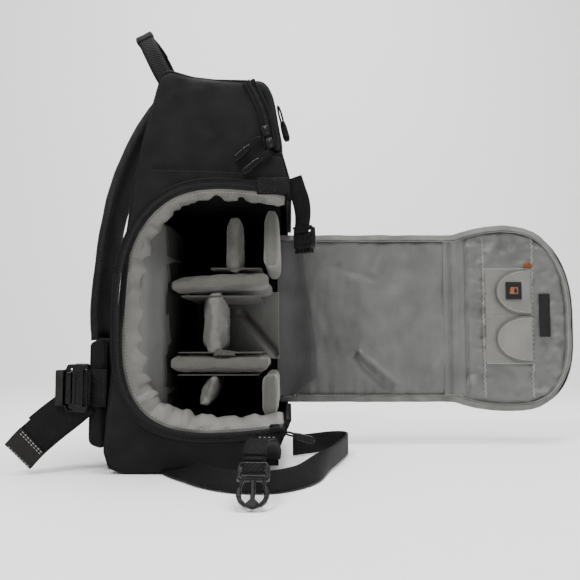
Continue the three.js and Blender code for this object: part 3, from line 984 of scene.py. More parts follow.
def build_near_panel():
    """The near side panel: cloth from the edge of the opening out to the body's rounded edge."""
    centre = PANEL_CENTRE
    outer = resample(side_outer(), 360)
    rows = []
    steps = 30
    reach = []
    for p in outer:
        away = Vector((p.x - centre.x, 0, p.z - centre.z))
        full = away.length
        away.normalize()
        inner = ray_reach(centre, away, opening)
        full -= CORNER_CUT * 0.8
        if inner is None or inner > full - 0.0006:
            inner = full - 0.0006
        reach.append((away, inner, full))
    for inset, depth in ((0.0002, 0.0105), (0.0006, 0.004), (0.0, 0.001)):
        rows.append([centre + a * (i - inset) + Vector((0, NEAR_Y + depth, 0)) for a, i, f in reach])
    for k in range(steps + 1):
        t = k / steps
        row = []
        for a, i, f in reach:
            p = centre + a * (i + (f - i) * t)
            edge = (f - i) * (1 - t) + CORNER_CUT
            lift = near_height(p.x, p.z)
            row.append(Vector((p.x, NEAR_Y + tuck(edge) - lift, p.z)))
        rows.append(row)
    panel = grid("near_side_shell", rows, shell_cloth, thick=0.003)
    panel.data.materials.append(dark_cloth)
    for face in panel.data.polygons:
        if face.center.x > BASE_FRONT[0] + 0.001 and face.center.z < 0.05:
            face.material_index = 1
    fit(panel, "root", "shell", "near_side_panel")
    seam = [Vector((x, NEAR_Y - 0.0015, SEAM_Z - 0.003 * (x - SEAM_BACK) / 0.1 - 0.0028))
            for x in (SEAM_BACK, -0.02, 0.02, SEAM_FRONT)]
    seam = [p - Vector((0, near_height(p.x, p.z), 0)) for p in resample(seam, 30)]
    fit(stitches("upper_seam_stitches", seam, NEAR, black_thread), "root", "shell")
    corner = [Vector((BASE_FRONT[0], NEAR_Y - 0.0005, z)) for z in (0.006, 0.02, 0.03, 0.042)]
    fit(tube("lower_seam_piping", resample(corner, 12), 0.0012, black_binding), "root", "lower_shell")


def far_height(x, z, distance):
    """The far panel is crowned, creased a little, and drawn in at two seams."""
    crease = 0.0016 * rough((x, 1, z), 0.05, 7) + 0.0006 * rough((x, 1, z), 0.016, 8)
    band = sum(valley(x, z, (-0.1, level), (0.1, level), 0.002) for level in (0.075, 0.325))
    return (0.005 * smooth_step(distance / 0.07) + crease * min(1.0, distance / 0.03) - 0.0015 * band
            - tuck(distance + CORNER_CUT))


def build_far_panel():
    """The plain far side panel, with dark gray cloth at its foot and two sewn seams."""
    middle = Vector(((side_low.x + side_high.x) / 2, 0, (side_low.z + side_high.z) / 2))
    edge = turning(offset_line(resample(side_outer(), 300), CORNER_CUT), middle)
    panel = pad_panel("far_side_shell", edge, FAR_Y, 1, shell_cloth, far_height, thick=SHELL)
    panel.data.materials.append(dark_cloth)
    for face in panel.data.polygons:
        if face.center.z < 0.075:
            face.material_index = 1
    fit(panel, "root", "shell", "far_side_panel")
    for name, level in (("far_low_stitches", 0.0775), ("far_high_stitches", 0.3275)):
        line = [Vector((x / 1000, FAR_Y + 0.0002 + far_height(x / 1000, level, 0.05), level))
                for x in range(-80, 84, 4)]
        fit(stitches(name, line, AWAY, black_thread), "root", "shell")


def build_edge_piping():
    """Corded piping round both side panels."""
    line = offset_line(resample(side_outer(), 300), CORNER_CUT * 0.75)
    for name, y in (("near_edge_piping", NEAR_Y + CORNER_CUT * 0.75),
                    ("far_edge_piping", FAR_Y - CORNER_CUT * 0.75)):
        fit(tube(name, at_y(line, y), PIPING, black_binding), "root", "shell")


def build_lid():
    """The top pocket's lid: its outer wall, its two cheeks, and piping."""
    loop = clockwise(cap_loop("top_pocket_lid", NEAR))
    start = max(range(len(loop)), key=lambda i: loop[i].z)
    loop = loop[start:] + loop[:start]
    half = len(loop) // 2
    outer = curve_through(loop[:half], 40)
    inner = curve_through(loop[half:][::-1], 40)
    parts = [wall("lid_wall", outer, shell_cloth, 0.002, 6, 40)]
    for name, y, out in (("lid_near", NEAR_Y, -1), ("lid_far", FAR_Y, 1)):
        rows = []
        for k in range(9):
            t = k / 8
            row = []
            for a, b in zip(outer, inner):
                edge = (1 - t) * (a - b).length
                inset = a.lerp(b, t + (1 - t) * CORNER_CUT / (a - b).length)
                row.append(Vector((inset.x, y - out * tuck(edge + CORNER_CUT)
                                   + out * 0.0008 * math.sin(math.pi * t), inset.z)))
            rows.append(row)
        if out < 0:
            rows.reverse()
        parts.append(grid(name, rows, shell_cloth, thick=0.003))
    for name, y in (("lid_near_piping", NEAR_Y + CORNER_CUT * 0.8),
                    ("lid_far_piping", FAR_Y - CORNER_CUT * 0.8)):
        parts.append(tube(name, at_y(offset_line(outer, CORNER_CUT * 0.8), y), PIPING, black_binding))
    fit(join("pocket_lid_shell", parts), "top_lid", "shell", "top_pocket_lid")


build_walls()
build_near_panel()
build_far_panel()
build_edge_piping()
build_lid()


# ---------------------------------------------------------------- opening, rim and zips

TAPE_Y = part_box("main_zip_tape")[0].y
RIM_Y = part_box("rim_lining")[0].y


def build_rim():
    """The gathered lining inside the opening, sewn to it and pulled in by its own slack."""
    along = lengths(opening)
    length = along[-1]
    inward = [Vector((d.z, 0, -d.x)).normalized() for d in directions(opening)]
    profile = [(-0.001, 0.0), (0.003, 0.0004), (0.008, 0.0022), (0.013, 0.005), (0.018, 0.0085),
               (0.0215, 0.013), (0.021, 0.019), (0.016, 0.024)]
    fine = curve_through([Vector((i, 0, d)) for i, d in profile], 26)
    rows = []
    for step in fine:
        row = []
        for p, n, s in zip(opening, inward, along):
            u = s / length
            wide = 0.60 + 0.42 * math.sin(math.pi * min(1.0, u * 1.35))
            wide -= 0.25 * smooth_step((u - 0.62) / 0.25)
            depth = min(1.0, step.x / 0.008)
            gather = rough((s, 0, step.x), 0.009, 3) * 0.0034 + rough((s, 1, step.x), 0.026, 4) * 0.0032
            fold = 0.0011 * math.sin(s / 0.0042 + 3 * rough((s, 0, 0), 0.03, 5)) * (step.x / 0.02)
            inset = step.x * wide + max(0.0, depth) * (gather + fold) * 0.9
            y = RIM_Y + step.z + max(0.0, depth) * (gather * 0.8 - fold)
            row.append(p + n * inset + Vector((0, y - p.y, 0)))
        rows.append(row)
    rows.reverse()
    rim = grid("rim_lining_cloth", rows, rim_gray, thick=0.0009)
    fit(rim, "root", "lining", "rim_lining")
    line = [p + n * 0.0035 + Vector((0, RIM_Y - 0.0006 - p.y, 0)) for p, n in zip(opening, inward)]
    fit(stitches("rim_stitches", line, NEAR, gray_thread), "root", "lining")


def build_main_zip():
    """Zip tape, coil, piping and stitches round the side opening."""
    y = TAPE_Y
    middle = offset_line(opening, -0.0042)
    tape = ribbon("main_zip_tape_cloth", at_y(middle, y + 0.0013),
                  sideways(middle), 0.0062, 0.0014, black_binding)
    fit(tape, "root", "zip", "main_zip_tape")
    fit(teeth("main_zip_coil", at_y(offset_line(opening, -0.0018), y + 0.0006), NEAR, coil),
        "root", "zip")
    fit(tube("main_zip_piping", at_y(offset_line(opening, -0.0078), y + 0.0016), 0.0019, black_binding),
        "root", "zip")
    fit(stitches("main_zip_stitches", at_y(offset_line(opening, -0.0052), y + 0.0004), NEAR,
                 black_thread), "root", "zip")


def build_top_zip():
    """The zip of the top pocket, down both side panels."""
    y_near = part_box("top_zip_tape")[0].y
    strip = cap_loop("top_zip_tape", NEAR)
    strip.sort(key=lambda p: -p.z)
    start = (strip[0] + strip[1]) / 2
    end = (strip[-1] + strip[-2]) / 2
    bow = Vector((0.0052, 0, 0.001))
    middle = curve_through([start, start.lerp(end, 0.3) + bow * 0.8, start.lerp(end, 0.6) + bow, end], 60)
    sides = sideways(middle)
    for place, y, out, nodes in (("near", y_near, 1, ["top_zip_tape"]), ("far", -y_near, -1, [])):
        fit(ribbon(f"top_zip_cloth_{place}", at_y(middle, y + out * 0.0012), sides, 0.0086, 0.0012,
                   black_binding), "root", "zip", *nodes)
        fit(teeth(f"top_zip_coil_{place}", at_y(middle, y + out * 0.0004), (0, -out, 0), coil),
            "root", "zip")
        for name, gap in (("front", -0.0052), ("back", 0.0056)):
            cord = at_y(offset_line(middle, gap), y + out * 0.0006)
            fit(tube(f"top_zip_{name}_piping_{place}", cord, 0.0016, black_binding), "root", "zip")


build_rim()
build_main_zip()
build_top_zip()


# ---------------------------------------------------------------- compartment

def build_compartment():
    """The compartment's pads and the linings on them."""
    back = soft_copy("back_pad", "back_pad_cloth", lining_gray, 0.006, 0.0012, 0.05, 2)
    floor_piece = soft_copy("floor_pad", "floor_pad_cloth", inner_black, 0.006, 0.001, 0.05, 3)
    far = soft_copy("far_pad", "far_pad_cloth", inner_black, 0.006, 0.001, 0.06, 4)
    shelf = soft_copy("compartment_shelf", "shelf_cloth", inner_black, 0.006, 0.001, 0.05, 5)
    for piece, node, fill in ((back, "back_pad", 0.5), (floor_piece, "floor_pad", 0.4),
                              (far, "far_pad", 0.4), (shelf, "compartment_shelf", 0.4)):
        fit(piece, "root", "lining", node)
    build_middle_lining()
    build_back_facing()


def build_middle_lining():
    """Gray cloth on the far wall of the middle cell, pulled into one long diagonal crease."""
    far_low, far_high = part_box("far_pad")
    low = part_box("divider_lower")[1].z - 0.004
    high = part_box("divider_upper")[0].z + 0.012
    width = far_high.x - far_low.x - 0.035

    def place(u, v):
        x = far_low.x + 0.034 + width * u
        z = low + (high - low) * v
        crease = valley(x, z, (0.030, 0.180), (0.078, 0.124), 0.0042)
        bulge = 0.0020 * rough((x, 0, z), 0.045, 9) + 0.0006 * rough((x, 0, z), 0.014, 10)
        return Vector((x, far_low.y - 0.0105 - bulge + 0.0080 * crease, z))

    # its colour is painted shade, dark at the back of the cell
    sheet = grid("middle_cell_lining", net(80, 60, place), cell_shade_cloth, thick=LINING)
    fit(sheet, "root", "lining")


def build_back_facing():
    """The lining of the back wall, folded forward where it meets the far wall."""
    pad_low, pad_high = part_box("back_pad")
    depth = pad_high.y - pad_low.y - 0.034
    height = pad_high.z - pad_low.z - 0.006

    def place(u, v):
        x = pad_high.x + 0.0034 - 0.004 * (1 - u) ** 3
        y = pad_low.y + 0.03 + depth * u
        z = pad_low.z + 0.002 + height * v
        bow = 0.0022 * rough((0, y, z), 0.045, 11) + 0.0008 * rough((0, y * 2, z), 0.016, 12)
        seam = (valley(y, z, (-0.1, 0.084), (0.1, 0.084), 0.0022)
                + valley(y, z, (-0.1, 0.232), (0.1, 0.250), 0.003))
        return Vector((x + bow - 0.0030 * seam, y, z))

    # its darker nylon is painted shade on the back wall
    sheet = grid("back_wall_lining", net(30, 70, place), back_shade_gray, thick=LINING)
    fit(sheet, "root", "lining")


def closest_on(piece, origin, towards):
    """Where a ray meets a piece, so that a stitch lies on its real surface."""
    hit, place, normal, _ = piece.ray_cast(origin, towards)
    return (place, normal) if hit else (None, None)


def build_divider(node, seed, along, cap=0.005, lean=0.0, cloth=divider_cloth, wrinkle=0.0010):
    """One padded divider: stuffed loop cloth with a top-stitched seam round its near end."""
    low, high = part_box(node)
    body = stuffed(node, node + "_cloth", cloth, 0.0042, 5.0, cap, wrinkle, 0.014, seed)
    for v in body.data.vertices:
        v.co.x -= lean * (v.co.y - low.y)
    fit(body, node, "divider", node)
    bpy.context.view_layer.update()
    middle = (low + high) / 2
    for index, side in enumerate((-1, 1)):
        if along == "x":
            a = Vector((low.x + 0.006, low.y, middle.z))
            b = Vector((high.x - 0.006, low.y, middle.z))
        else:
            a = Vector((middle.x, low.y, low.z + 0.006))
            b = Vector((middle.x, low.y, high.z - 0.006))
        across = UP if along == "x" else RIGHT
        line = []
        for k in range(41):
            p = a.lerp(b, k / 40)
            origin = Vector((p.x, low.y + 0.006, p.z)) + across * side * 0.05
            place, normal = closest_on(body, origin, -across * side)
            if place is not None:
                line.append(place + normal * 0.0002)
        if len(line) > 10:
            seam = stitches(f"{node}_seam_{index}", line, across * side, divider_thread)
            fit(seam, node, "divider")


def build_dividers():
    """The five loose dividers and the two pads at the front of the compartment."""
    build_divider("divider_upper", 1, "x", 0.004)
    build_divider("divider_lower", 2, "x", 0.004)
    build_divider("divider_top_vertical", 3, "z", 0.0045, 0.05)
    build_divider("divider_mid_vertical", 4, "z", 0.006, 0.07, divider_satin, 0.0022)
    build_divider("divider_low_slanted", 5, "z", 0.004, 0.05, divider_satin, 0.0014)
    for node, seed in (("end_pad_upper", 6), ("end_pad_lower", 7)):
        pad = stuffed(node, node + "_cloth", divider_cloth, 0.005, 4.0, 0.003, 0.0009, 0.03, seed)
        fit(pad, "root", "divider", node)


def tab(name, low, high, body, thin):
    """A flat hook-tape tab with rounded corners between two corners of its box, thin along y or z."""
    size = high - low
    wide, thick, up = (size.z, size.y, UP) if thin == "y" else (size.y, size.z, AWAY)
    place = frame_at((low + high) / 2, RIGHT, up)
    piece = plate(name, [box_outline(size.x, wide, 0.004)], thick, thick * 0.3, place, tab_tape)
    return fit(piece, body, "divider")


def build_tabs():
    """The hook tabs that hold the dividers: they show above, below and behind them."""
    for node, above, below in (("divider_upper", 0.4, 0.12), ("divider_lower", 0.1, 0.1)):
        low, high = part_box(node)
        length = high.x - low.x
        for name, z, start, stop in (("top", high.z, above, 0.9), ("under", low.z, below, 0.88)):
            sign = 1 if name == "top" else -1
            lift = sign * (0.0052 if node == "divider_lower" else 0.0046)
            a = Vector((low.x + length * start, low.y + 0.006, z + lift - 0.0007))
            b = Vector((low.x + length * stop, high.y - 0.006, z + lift + 0.0007))
            tab(f"{node}_tab_{name}", a, b, node, "z")
    low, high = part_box("divider_upper")
    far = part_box("far_pad")[0].y
    tab("divider_upper_far_tab", Vector((low.x + 0.03, far - 0.0056, low.z - 0.021)),
        Vector((high.x - 0.004, far - 0.0042, low.z + 0.004)), "divider_upper", "y")
    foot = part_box("divider_mid_vertical")
    fold = [(0.0, 0.0), (0.025, 0.0), (0.025, 0.0045), (0.004, 0.008)]
    place = upright((foot[1].x - 0.012, foot[0].y + 0.012, foot[0].z + 0.0005))
    fit(plate("mid_vertical_foot_tab", [rounded(fold, 0.0008, 3)], 0.02, 0.0005, place, tab_tape),
        "divider_mid_vertical", "divider")


build_compartment()
build_dividers()
build_tabs()


# ---------------------------------------------------------------- flap

front_shell_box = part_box("flap_front_shell")
front_pad_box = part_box("flap_front_lining")
side_shell_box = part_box("flap_side_shell")
side_pad_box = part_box("flap_side_lining")


def flap_front_height(x, z, distance):
    """The flap's front lining: padded, puckered at its edge, with a few long folds."""
    thick = front_pad_box[1].y - front_pad_box[0].y
    pucker = 0.0042 * rough((x, 0, z * 0.4), 0.010, 12) * math.exp(-distance / 0.020)
    sway = 0.0034 * rough((x, 0, z * 0.6), 0.07, 13) + 0.0013 * rough((x * 1.6, 0, z), 0.022, 14)
    folds = (0.0042 * valley(x, z, (0.186, 0.120), (0.232, 0.076), 0.005)
             - 0.0052 * valley(x, z, (0.194, 0.124), (0.244, 0.084), 0.0045)
             + 0.0014 * valley(x, z, (0.150, 0.250), (0.215, 0.228), 0.006)
             + 0.0012 * valley(x, z, (0.285, 0.095), (0.318, 0.150), 0.005))
    return thick * dome(distance, 0.011) + smooth_step(distance / 0.02) * (sway - folds) + pucker * 0.7


def flap_side_height(x, z, distance):
    """The flap's side lining: crumpled beyond the card pocket and drawn in at its seams."""
    thick = side_pad_box[1].y - side_pad_box[0].y
    pucker = 0.0040 * rough((x, 0, z), 0.009, 15) * math.exp(-distance / 0.018)
    crumple = smooth_step((x - 0.43) / 0.03)
    seam_gap = min(abs(x - 0.3655), abs(x - 0.4325))
    gather = 0.0042 * rough((x * 0.4, 0, z), 0.008, 36) * math.exp(-seam_gap / 0.009)
    tuft = 0.0060 * rough((x, 0, z), 0.020, 37) * smooth_step((abs(z - 0.177) - 0.068) / 0.012)
    sway = (0.0016 * rough((x, 0, z), 0.06, 16) + 0.0008 * rough((x, 0, z), 0.02, 17)
            + 0.0058 * crumple * rough((x, 0, z * 1.4), 0.020, 18))
    seams = 0.0024 * valley(x, z, (0.3425, 0.07), (0.3425, 0.29), 0.0026)
    seams += sum(0.0013 * valley(x, z, (seam, 0.095), (seam, 0.255), 0.0018) for seam in (0.3655, 0.431))
    return (thick * dome(distance, 0.010) + smooth_step(distance / 0.016) * (sway + gather + tuft)
            + pucker * 0.7 - seams)


def outer_height(x, z, distance):
    """The flap's outer shell: a soft edge and a slightly uneven face."""
    base = 0.0034 * dome(distance, 0.006)
    return base + smooth_step(distance / 0.03) * (0.0016 + 0.0014 * rough((x, 2, z), 0.05, 19)
                                                  + 0.0005 * rough((x, 2, z), 0.017, 20))


def build_flap_faces():
    """The lining and the outer shell of both parts of the flap."""
    for body, pad, shell_node, height, fill in (
            ("flap_front", "flap_front_lining", "flap_front_shell", flap_front_height, 0.4),
            ("flap_side", "flap_side_lining", "flap_side_shell", flap_side_height, 0.45)):
        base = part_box(pad)[1].y
        inner = pad_panel(pad + "_cloth", cap_loop(pad, NEAR), base, -1, lining_gray, height, 56, 360)
        fit(inner, body, "lining", pad)
        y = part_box(shell_node)[0].y
        edge = cap_loop(shell_node, AWAY)
        outer = pad_panel(shell_node + "_cloth", edge, y, 1, shell_cloth, outer_height)
        inside = pad_panel(shell_node + "_back", edge, y, -1, black_binding, lambda x, z, d: 0.0002, 6, 200)
        fit(join(shell_node + "_outside", [outer, inside]), body, "shell", shell_node)


def edge_runs():
    """The free edges of the flap: two straight runs on its front part, one round the side part."""
    low, high = front_shell_box
    top = [Vector((x, 0, high.z)) for x in (low.x + 0.001, low.x + 0.08, high.x - 0.08, high.x - 0.0005)]
    bottom = [Vector((p.x, 0, low.z)) for p in reversed(top)]
    loop = clockwise(cap_loop("flap_side_shell", NEAR))
    left = min(p.x for p in loop)
    corners = [i for i, p in enumerate(loop) if p.x < left + 0.0005]
    start = max(corners, key=lambda i: loop[i].z)
    round_edge = loop[start:] + loop[:start]
    return (("flap_front", "high", resample(top, 90), "flap_zip_high"),
            ("flap_front", "low", resample(bottom, 90), "flap_zip_low"),
            ("flap_side", "round", resample(round_edge, 260), "flap_zip_round"))


def build_flap_edges():
    """Binding, stitches, zip tape, coil and piping on the free edges of the flap."""
    for body, name, line, zip_node in edge_runs():
        zip_low, zip_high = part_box(zip_node)
        inward = sideways(line)
        round_end = side_shell_box[1].x - 0.055
        bound = []
        for p, n in zip(line, inward):
            inset = 0.0046 + 0.0042 * smooth_step((p.x - round_end) / 0.04)
            wave = 0.0006 * rough((p.x, 0, p.z), 0.02, 35)
            bound.append(p + n * (inset + wave) + Vector((0, zip_low.y - 0.0016 + wave - p.y, 0)))
        tilt = [(n + Vector((0, -0.35, 0))).normalized() for n in inward]
        binding = ribbon(f"flap_binding_{name}", bound, tilt, 0.0100, 0.0042, edge_binding)
        fit(binding, body, "lining")
        fit(stitches(f"flap_binding_stitches_{name}", at_y(offset_line(line, 0.0098), zip_low.y - 0.0050),
                     NEAR, gray_thread), body, "lining")
        tape_line = at_y(offset_line(line, 0.0026), (zip_low.y + zip_high.y) / 2)
        tape = ribbon(f"flap_zip_cloth_{name}", tape_line, AWAY, zip_high.y - zip_low.y, 0.0018,
                      black_binding)
        fit(tape, body, "zip", zip_node)
        fit(teeth(f"flap_zip_coil_{name}", at_y(offset_line(line, 0.0020), zip_low.y + 0.002),
                  NEAR, coil, 0.0034), body, "zip")
        fit(tube(f"flap_piping_{name}", at_y(offset_line(line, 0.0012), zip_high.y + 0.0012), 0.0014,
                 black_binding), body, "zip")


def bridge_binding(name, points):
    """A short length of the flap's binding that bends where two bodies meet."""
    line = curve_through(points, 24)
    side = [(Vector((d.z, 0, -d.x)) + Vector((0, -0.35, 0))).normalized() for d in directions(line)]
    piece = ribbon(name, line, side, 0.0102, 0.0044, edge_binding)
    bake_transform(piece)


def build_bridges():
    """The flap's binding where it crosses the fold and the hinge."""
    low, high = front_shell_box
    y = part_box("flap_zip_high")[0].y - 0.0016
    middle = (front_pad_box[1].x + side_pad_box[0].x) / 2
    for name, z, sign in (("high", high.z, 1), ("low", low.z, -1)):
        edge = z - sign * 0.0046
        fold = [(middle - 0.012, y, edge), (middle - 0.004, y, edge), (middle + 0.004, y, z - sign * 0.0032),
                (middle + 0.014, y, z + sign * 0.0004)]
        hinge = [(low.x - 0.017, y - 0.001, edge), (low.x - 0.007, y, edge), (low.x + 0.002, y, edge),
                 (low.x + 0.008, y, edge)]
        if sign < 0:
            fold.reverse()
            hinge.reverse()
        bridge_binding(f"fold_binding_{name}", fold)
        bridge_binding(f"hinge_binding_{name}", hinge)


def build_hinge():
    """Cloth at the hinge: gray inside and black outside, from the body's far front edge to the flap."""
    far_low, far_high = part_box("far_pad")
    pad_low, pad_high = front_pad_box
    height = pad_high.z - pad_low.z

    def inside(u, v):
        z = pad_low.z + 0.001 + (height - 0.002) * v
        drop = (pad_high.z - z) / height
        end = pad_low.x + 0.015 + 0.018 * smooth_step(drop / 0.8) - 0.026 * smooth_step((drop - 0.86) / 0.12)
        x = far_high.x - 0.004 + (end - far_high.x + 0.004) * u
        y = far_low.y - 0.0004 + (pad_low.y - 0.0019 - far_low.y) * smooth_step(u * 1.3)
        hollow = 0.004 * math.sin(math.pi * min(1.0, u * 1.15))
        return Vector((x, y + hollow * 0.4 + 0.0012 * rough((x, 0, z), 0.03, 21), z))

    rows = net(24, 70, inside)
    # its darker nylon is painted shade in the hinge
    inner = grid("hinge_lining", rows, hinge_shade_gray, thick=LINING)
    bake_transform(inner)
    shell_low, shell_high = front_shell_box

    def outside(u, v):
        x = side_high.x - 0.016 + 0.024 * u
        z = shell_low.z + 0.002 + (shell_high.z - shell_low.z - 0.004) * v
        return Vector((x, shell_high.y + 0.0012 + 0.0004 * rough((x, 3, z), 0.02, 22), z))

    outer = grid("hinge_shell", net(20, 50, outside)[::-1], shell_cloth, thick=0.0012)
    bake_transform(outer)


def build_fold():
    """The two parts of the flap are one cloth: a strip inside and one outside cross the fold."""
    for name, y, facing, material, z_low, z_high, slot in (
            ("fold_lining", side_pad_box[0].y, -1, lining_gray, front_pad_box[0].z, front_pad_box[1].z,
             "lining"),
            ("fold_shell", side_shell_box[1].y, 1, shell_cloth, front_shell_box[0].z, front_shell_box[1].z,
             "shell")):
        middle = (front_pad_box[1].x + side_pad_box[0].x) / 2
        rows = []
        for j in range(91):
            z = z_low + 0.001 + (z_high - z_low - 0.002) * j / 90
            row = []
            for i in range(33):
                t = i / 32
                x = middle - 0.015 + 0.030 * t
                rise = 0.0007 + 0.0010 * math.sin(math.pi * t)
                if facing < 0:
                    rise += 0.0014 * valley(x, z, (middle + 0.004, 0), (middle + 0.004, 1), 0.004)
                    rise -= 0.0022 * valley(x, z, (middle - 0.0055, 0), (middle - 0.0055, 1), 0.0022)
                rise += 0.0009 * math.sin(math.pi * t) * rough((x, 0, z), 0.016, 23)
                row.append(Vector((x, y + facing * rise, z)))
            rows.append(row)
        if facing > 0:
            rows.reverse()
        strip = grid(name, rows, material, thick=LINING)
        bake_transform(strip)


def pocket_height(x, z):
    """Slight waves in the cloth of the card pocket."""
    return 0.0007 * rough((x, 0, z), 0.03, 24) + 0.0003 * rough((x, 0, z), 0.012, 25)


def build_card_pocket():
    """The card pocket sewn to the flap, with zigzag seams in the lining on both sides of it."""
    low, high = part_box("card_pocket")
    middle = (low.z + high.z) / 2

    def sewn(u, v):
        x = low.x + (high.x - low.x) * u
        z = low.z + (high.z - low.z) * v
        seam = valley(x, z, (low.x, middle), (high.x, middle), 0.0014)
        return Vector((x, low.y + 0.0006 - pocket_height(x, z) + 0.0006 * seam, z))

    pocket = grid("card_pocket_cloth", net(50, 80, sewn), pocket_gray, thick=0.0011)
    fit(pocket, "flap_side", "lining", "card_pocket")
    y = low.y - 0.0002
    for name, a, b in (("high", (low.x, high.z - 0.0014), (high.x, high.z - 0.0014)),
                       ("low", (low.x, low.z + 0.0014), (high.x, low.z + 0.0014)),
                       ("middle", (low.x + 0.002, middle), (high.x - 0.002, middle))):
        line = resample([Vector((a[0], y, a[1])), Vector((b[0], y, b[1]))], 12)
        fit(stitches(f"card_pocket_stitches_{name}", line, NEAR, gray_thread), "flap_side", "lining")
    pad = bpy.data.objects["flap_side_lining_cloth"]
    pad_low, pad_high = side_pad_box
    for name, x in (("back", low.x - 0.0022), ("front", high.x + 0.0016)):
        line = []
        side = 1
        z = pad_low.z + 0.012
        while z < pad_high.z - 0.008:
            place, _ = closest_on(pad, Vector((x, pad_low.y - 0.03, z)), AWAY)
            if place is not None:
                line.append(place + Vector((0.0013 * side, -0.0004, 0)))
            side = -side
            z += 0.0032
        seam = tube(f"zigzag_seam_{name}", line, 0.00055, gray_thread, sides=5)
        fit(seam, "flap_side", "lining")


def build_tongues():
    """The two D-shaped tongues of the card pocket, each bound round its curved edge."""
    for node in ("card_tongue_upper", "card_tongue_lower"):
        low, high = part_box(node)
        centre_z = (low.z + high.z) / 2
        half = (high.z - low.z) / 2
        long = high.x - low.x
        arc = []
        for k in range(41):
            a = math.pi * k / 40
            arc.append(Vector((high.x - 0.001 - (long - 0.001) * math.sin(a) ** 0.82, low.y,
                               centre_z - half * math.cos(a))))
        rows = []
        for j in range(13):
            t = j / 12
            row = []
            for p in arc:
                q = Vector((high.x - 0.001, low.y, p.z)).lerp(p, t)
                lift = 0.0016 * smooth_step((high.x - q.x) / long) + 0.0003 * rough(q, 0.02, 26)
                row.append(Vector((q.x, high.y - 0.0008 - lift, q.z)))
            rows.append(row)
        tongue = grid(node + "_cloth", rows, pocket_gray, thick=0.0016, offset=0.0)
        fit(tongue, node, "lining", node)
        rim = [Vector((p.x, q.y - 0.0002, p.z)) for p, q in zip(arc, rows[-1])]
        fit(tube(node + "_binding", rim, 0.0011, edge_binding), node, "lining")
        seam = []
        for p in rim[2:-2]:
            inward = (Vector((high.x - 0.01, p.y, centre_z)) - p).normalized()
            seam.append(p + inward * 0.0024 - Vector((0, 0.0008, 0)))
        fit(stitches(node + "_stitches", seam, NEAR, gray_thread), node, "lining")


def flat_patch(name, low, high, corner, material, body, slot, node):
    """A thin sewn-on label or patch with rounded corners, on the camera side of the flap."""
    size = high - low
    place = upright((low + high) / 2)
    piece = plate(name, [box_outline(size.x, size.z, corner, 3)], max(0.0011, size.y * 0.9), 0.0003, place,
                  material)
    return fit(piece, body, slot, node)


def build_flap_labels():
    """The card icon patch, the orange tag and the blank dark label."""
    low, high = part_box("card_icon_patch")
    low.y -= 0.0018
    high.y -= 0.0018
    flat_patch("card_icon_ground", low, high, 0.0008, patch_black, "card_tongue_upper", "webbing",
               "card_icon_patch")
    centre = (low + high) / 2
    card = rounded([(-0.006, -0.0048), (0.006, -0.0048), (0.006, 0.0048), (-0.0045, 0.0048)], 0.0008, 3)
    hole = rounded([(0.0006, -0.0030), (0.0046, -0.0030), (0.0046, 0.0030), (0.0006, 0.0030)], 0.0005, 3)
    place = upright((centre.x, low.y - 0.0004, centre.z))
    fit(plate("card_icon_mark", [card, hole], 0.0006, 0.0001, place, orange_mark), "card_tongue_upper",
        "orange")
    low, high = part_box("orange_tag")
    flat_patch("orange_tag_tape", low, high, 0.0008, orange_tape, "flap_side", "orange", "orange_tag")
    low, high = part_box("label_patch")
    flat_patch("label_ground", low, high, 0.0006, patch_black, "flap_side", "webbing", "label_patch")
    x = (low.x + high.x) / 2
    line = [Vector((x, low.y - 0.0003, z)) for z in (low.z + 0.002, (low.z + high.z) / 2, high.z - 0.002)]
    for name, gap in (("left", -0.0062), ("right", 0.0062)):
        edge = [p + Vector((gap, 0, 0)) for p in resample(line, 12)]
        fit(stitches(f"label_stitches_{name}", edge, NEAR, black_thread), "flap_side", "webbing")


build_flap_faces()
build_flap_edges()
build_bridges()
build_hinge()
build_fold()
build_card_pocket()
build_tongues()
build_flap_labels()


# ---------------------------------------------------------------- straps and webbing

def padded_strap(name, points, across, width, thick, material):
    """A padded strap: crowned both ways, thinner towards its sewn edges."""
    dirs = directions(points)
    along = lengths(points)
    section = []
    for k in range(28):
        a = 2 * math.pi * k / 28
        c, s = math.cos(a), math.sin(a)
        section.append((math.copysign(abs(c) ** 0.6, c) * width / 2,
                        math.copysign(abs(s) ** 0.75, s) * thick / 2))
    verts, faces, uvs = [], [], []
    for i, (p, d) in enumerate(zip(points, dirs)):
        side = (across - d * across.dot(d)).normalized()
        up = side.cross(d)
        ends = dome(min(along[i], along[-1] - along[i]) + 0.0005, 0.012)
        for u, v in section:
            q = p + side * u + up * v * (0.35 + 0.65 * ends)
            q += up * 0.0009 * rough(q, 0.03, 31) + side * 0.0006 * rough(q, 0.02, 32)
            verts.append(q)
            uvs.append((along[i], u))
    n = len(section)
    for i in range(len(points) - 1):
        for k in range(n):
            m = (k + 1) % n
            faces.append((i * n + k, (i + 1) * n + k, (i + 1) * n + m, i * n + m))
    faces.append(tuple(range(n)))
    faces.append(tuple((len(points) - 1) * n + k for k in reversed(range(n))))
    return mesh_object(name, verts, faces, material, uvs)


STRAP_ROUTE = ((-0.067, 0.0, 0.430), (-0.078, -0.008, 0.410), (-0.092, -0.020, 0.376),
               (-0.105, -0.036, 0.330), (-0.113, -0.050, 0.280), (-0.117, -0.060, 0.230),
               (-0.119, -0.068, 0.180), (-0.117, -0.072, 0.142))
STRAP_WIDTH = 0.070
STRAP_THICK = 0.018
WEBBING_WIDE = 0.038      # through the large buckle
WEBBING = 0.025           # along the sling strap
STRAP_WEBBING = 0.020     # of the compression straps


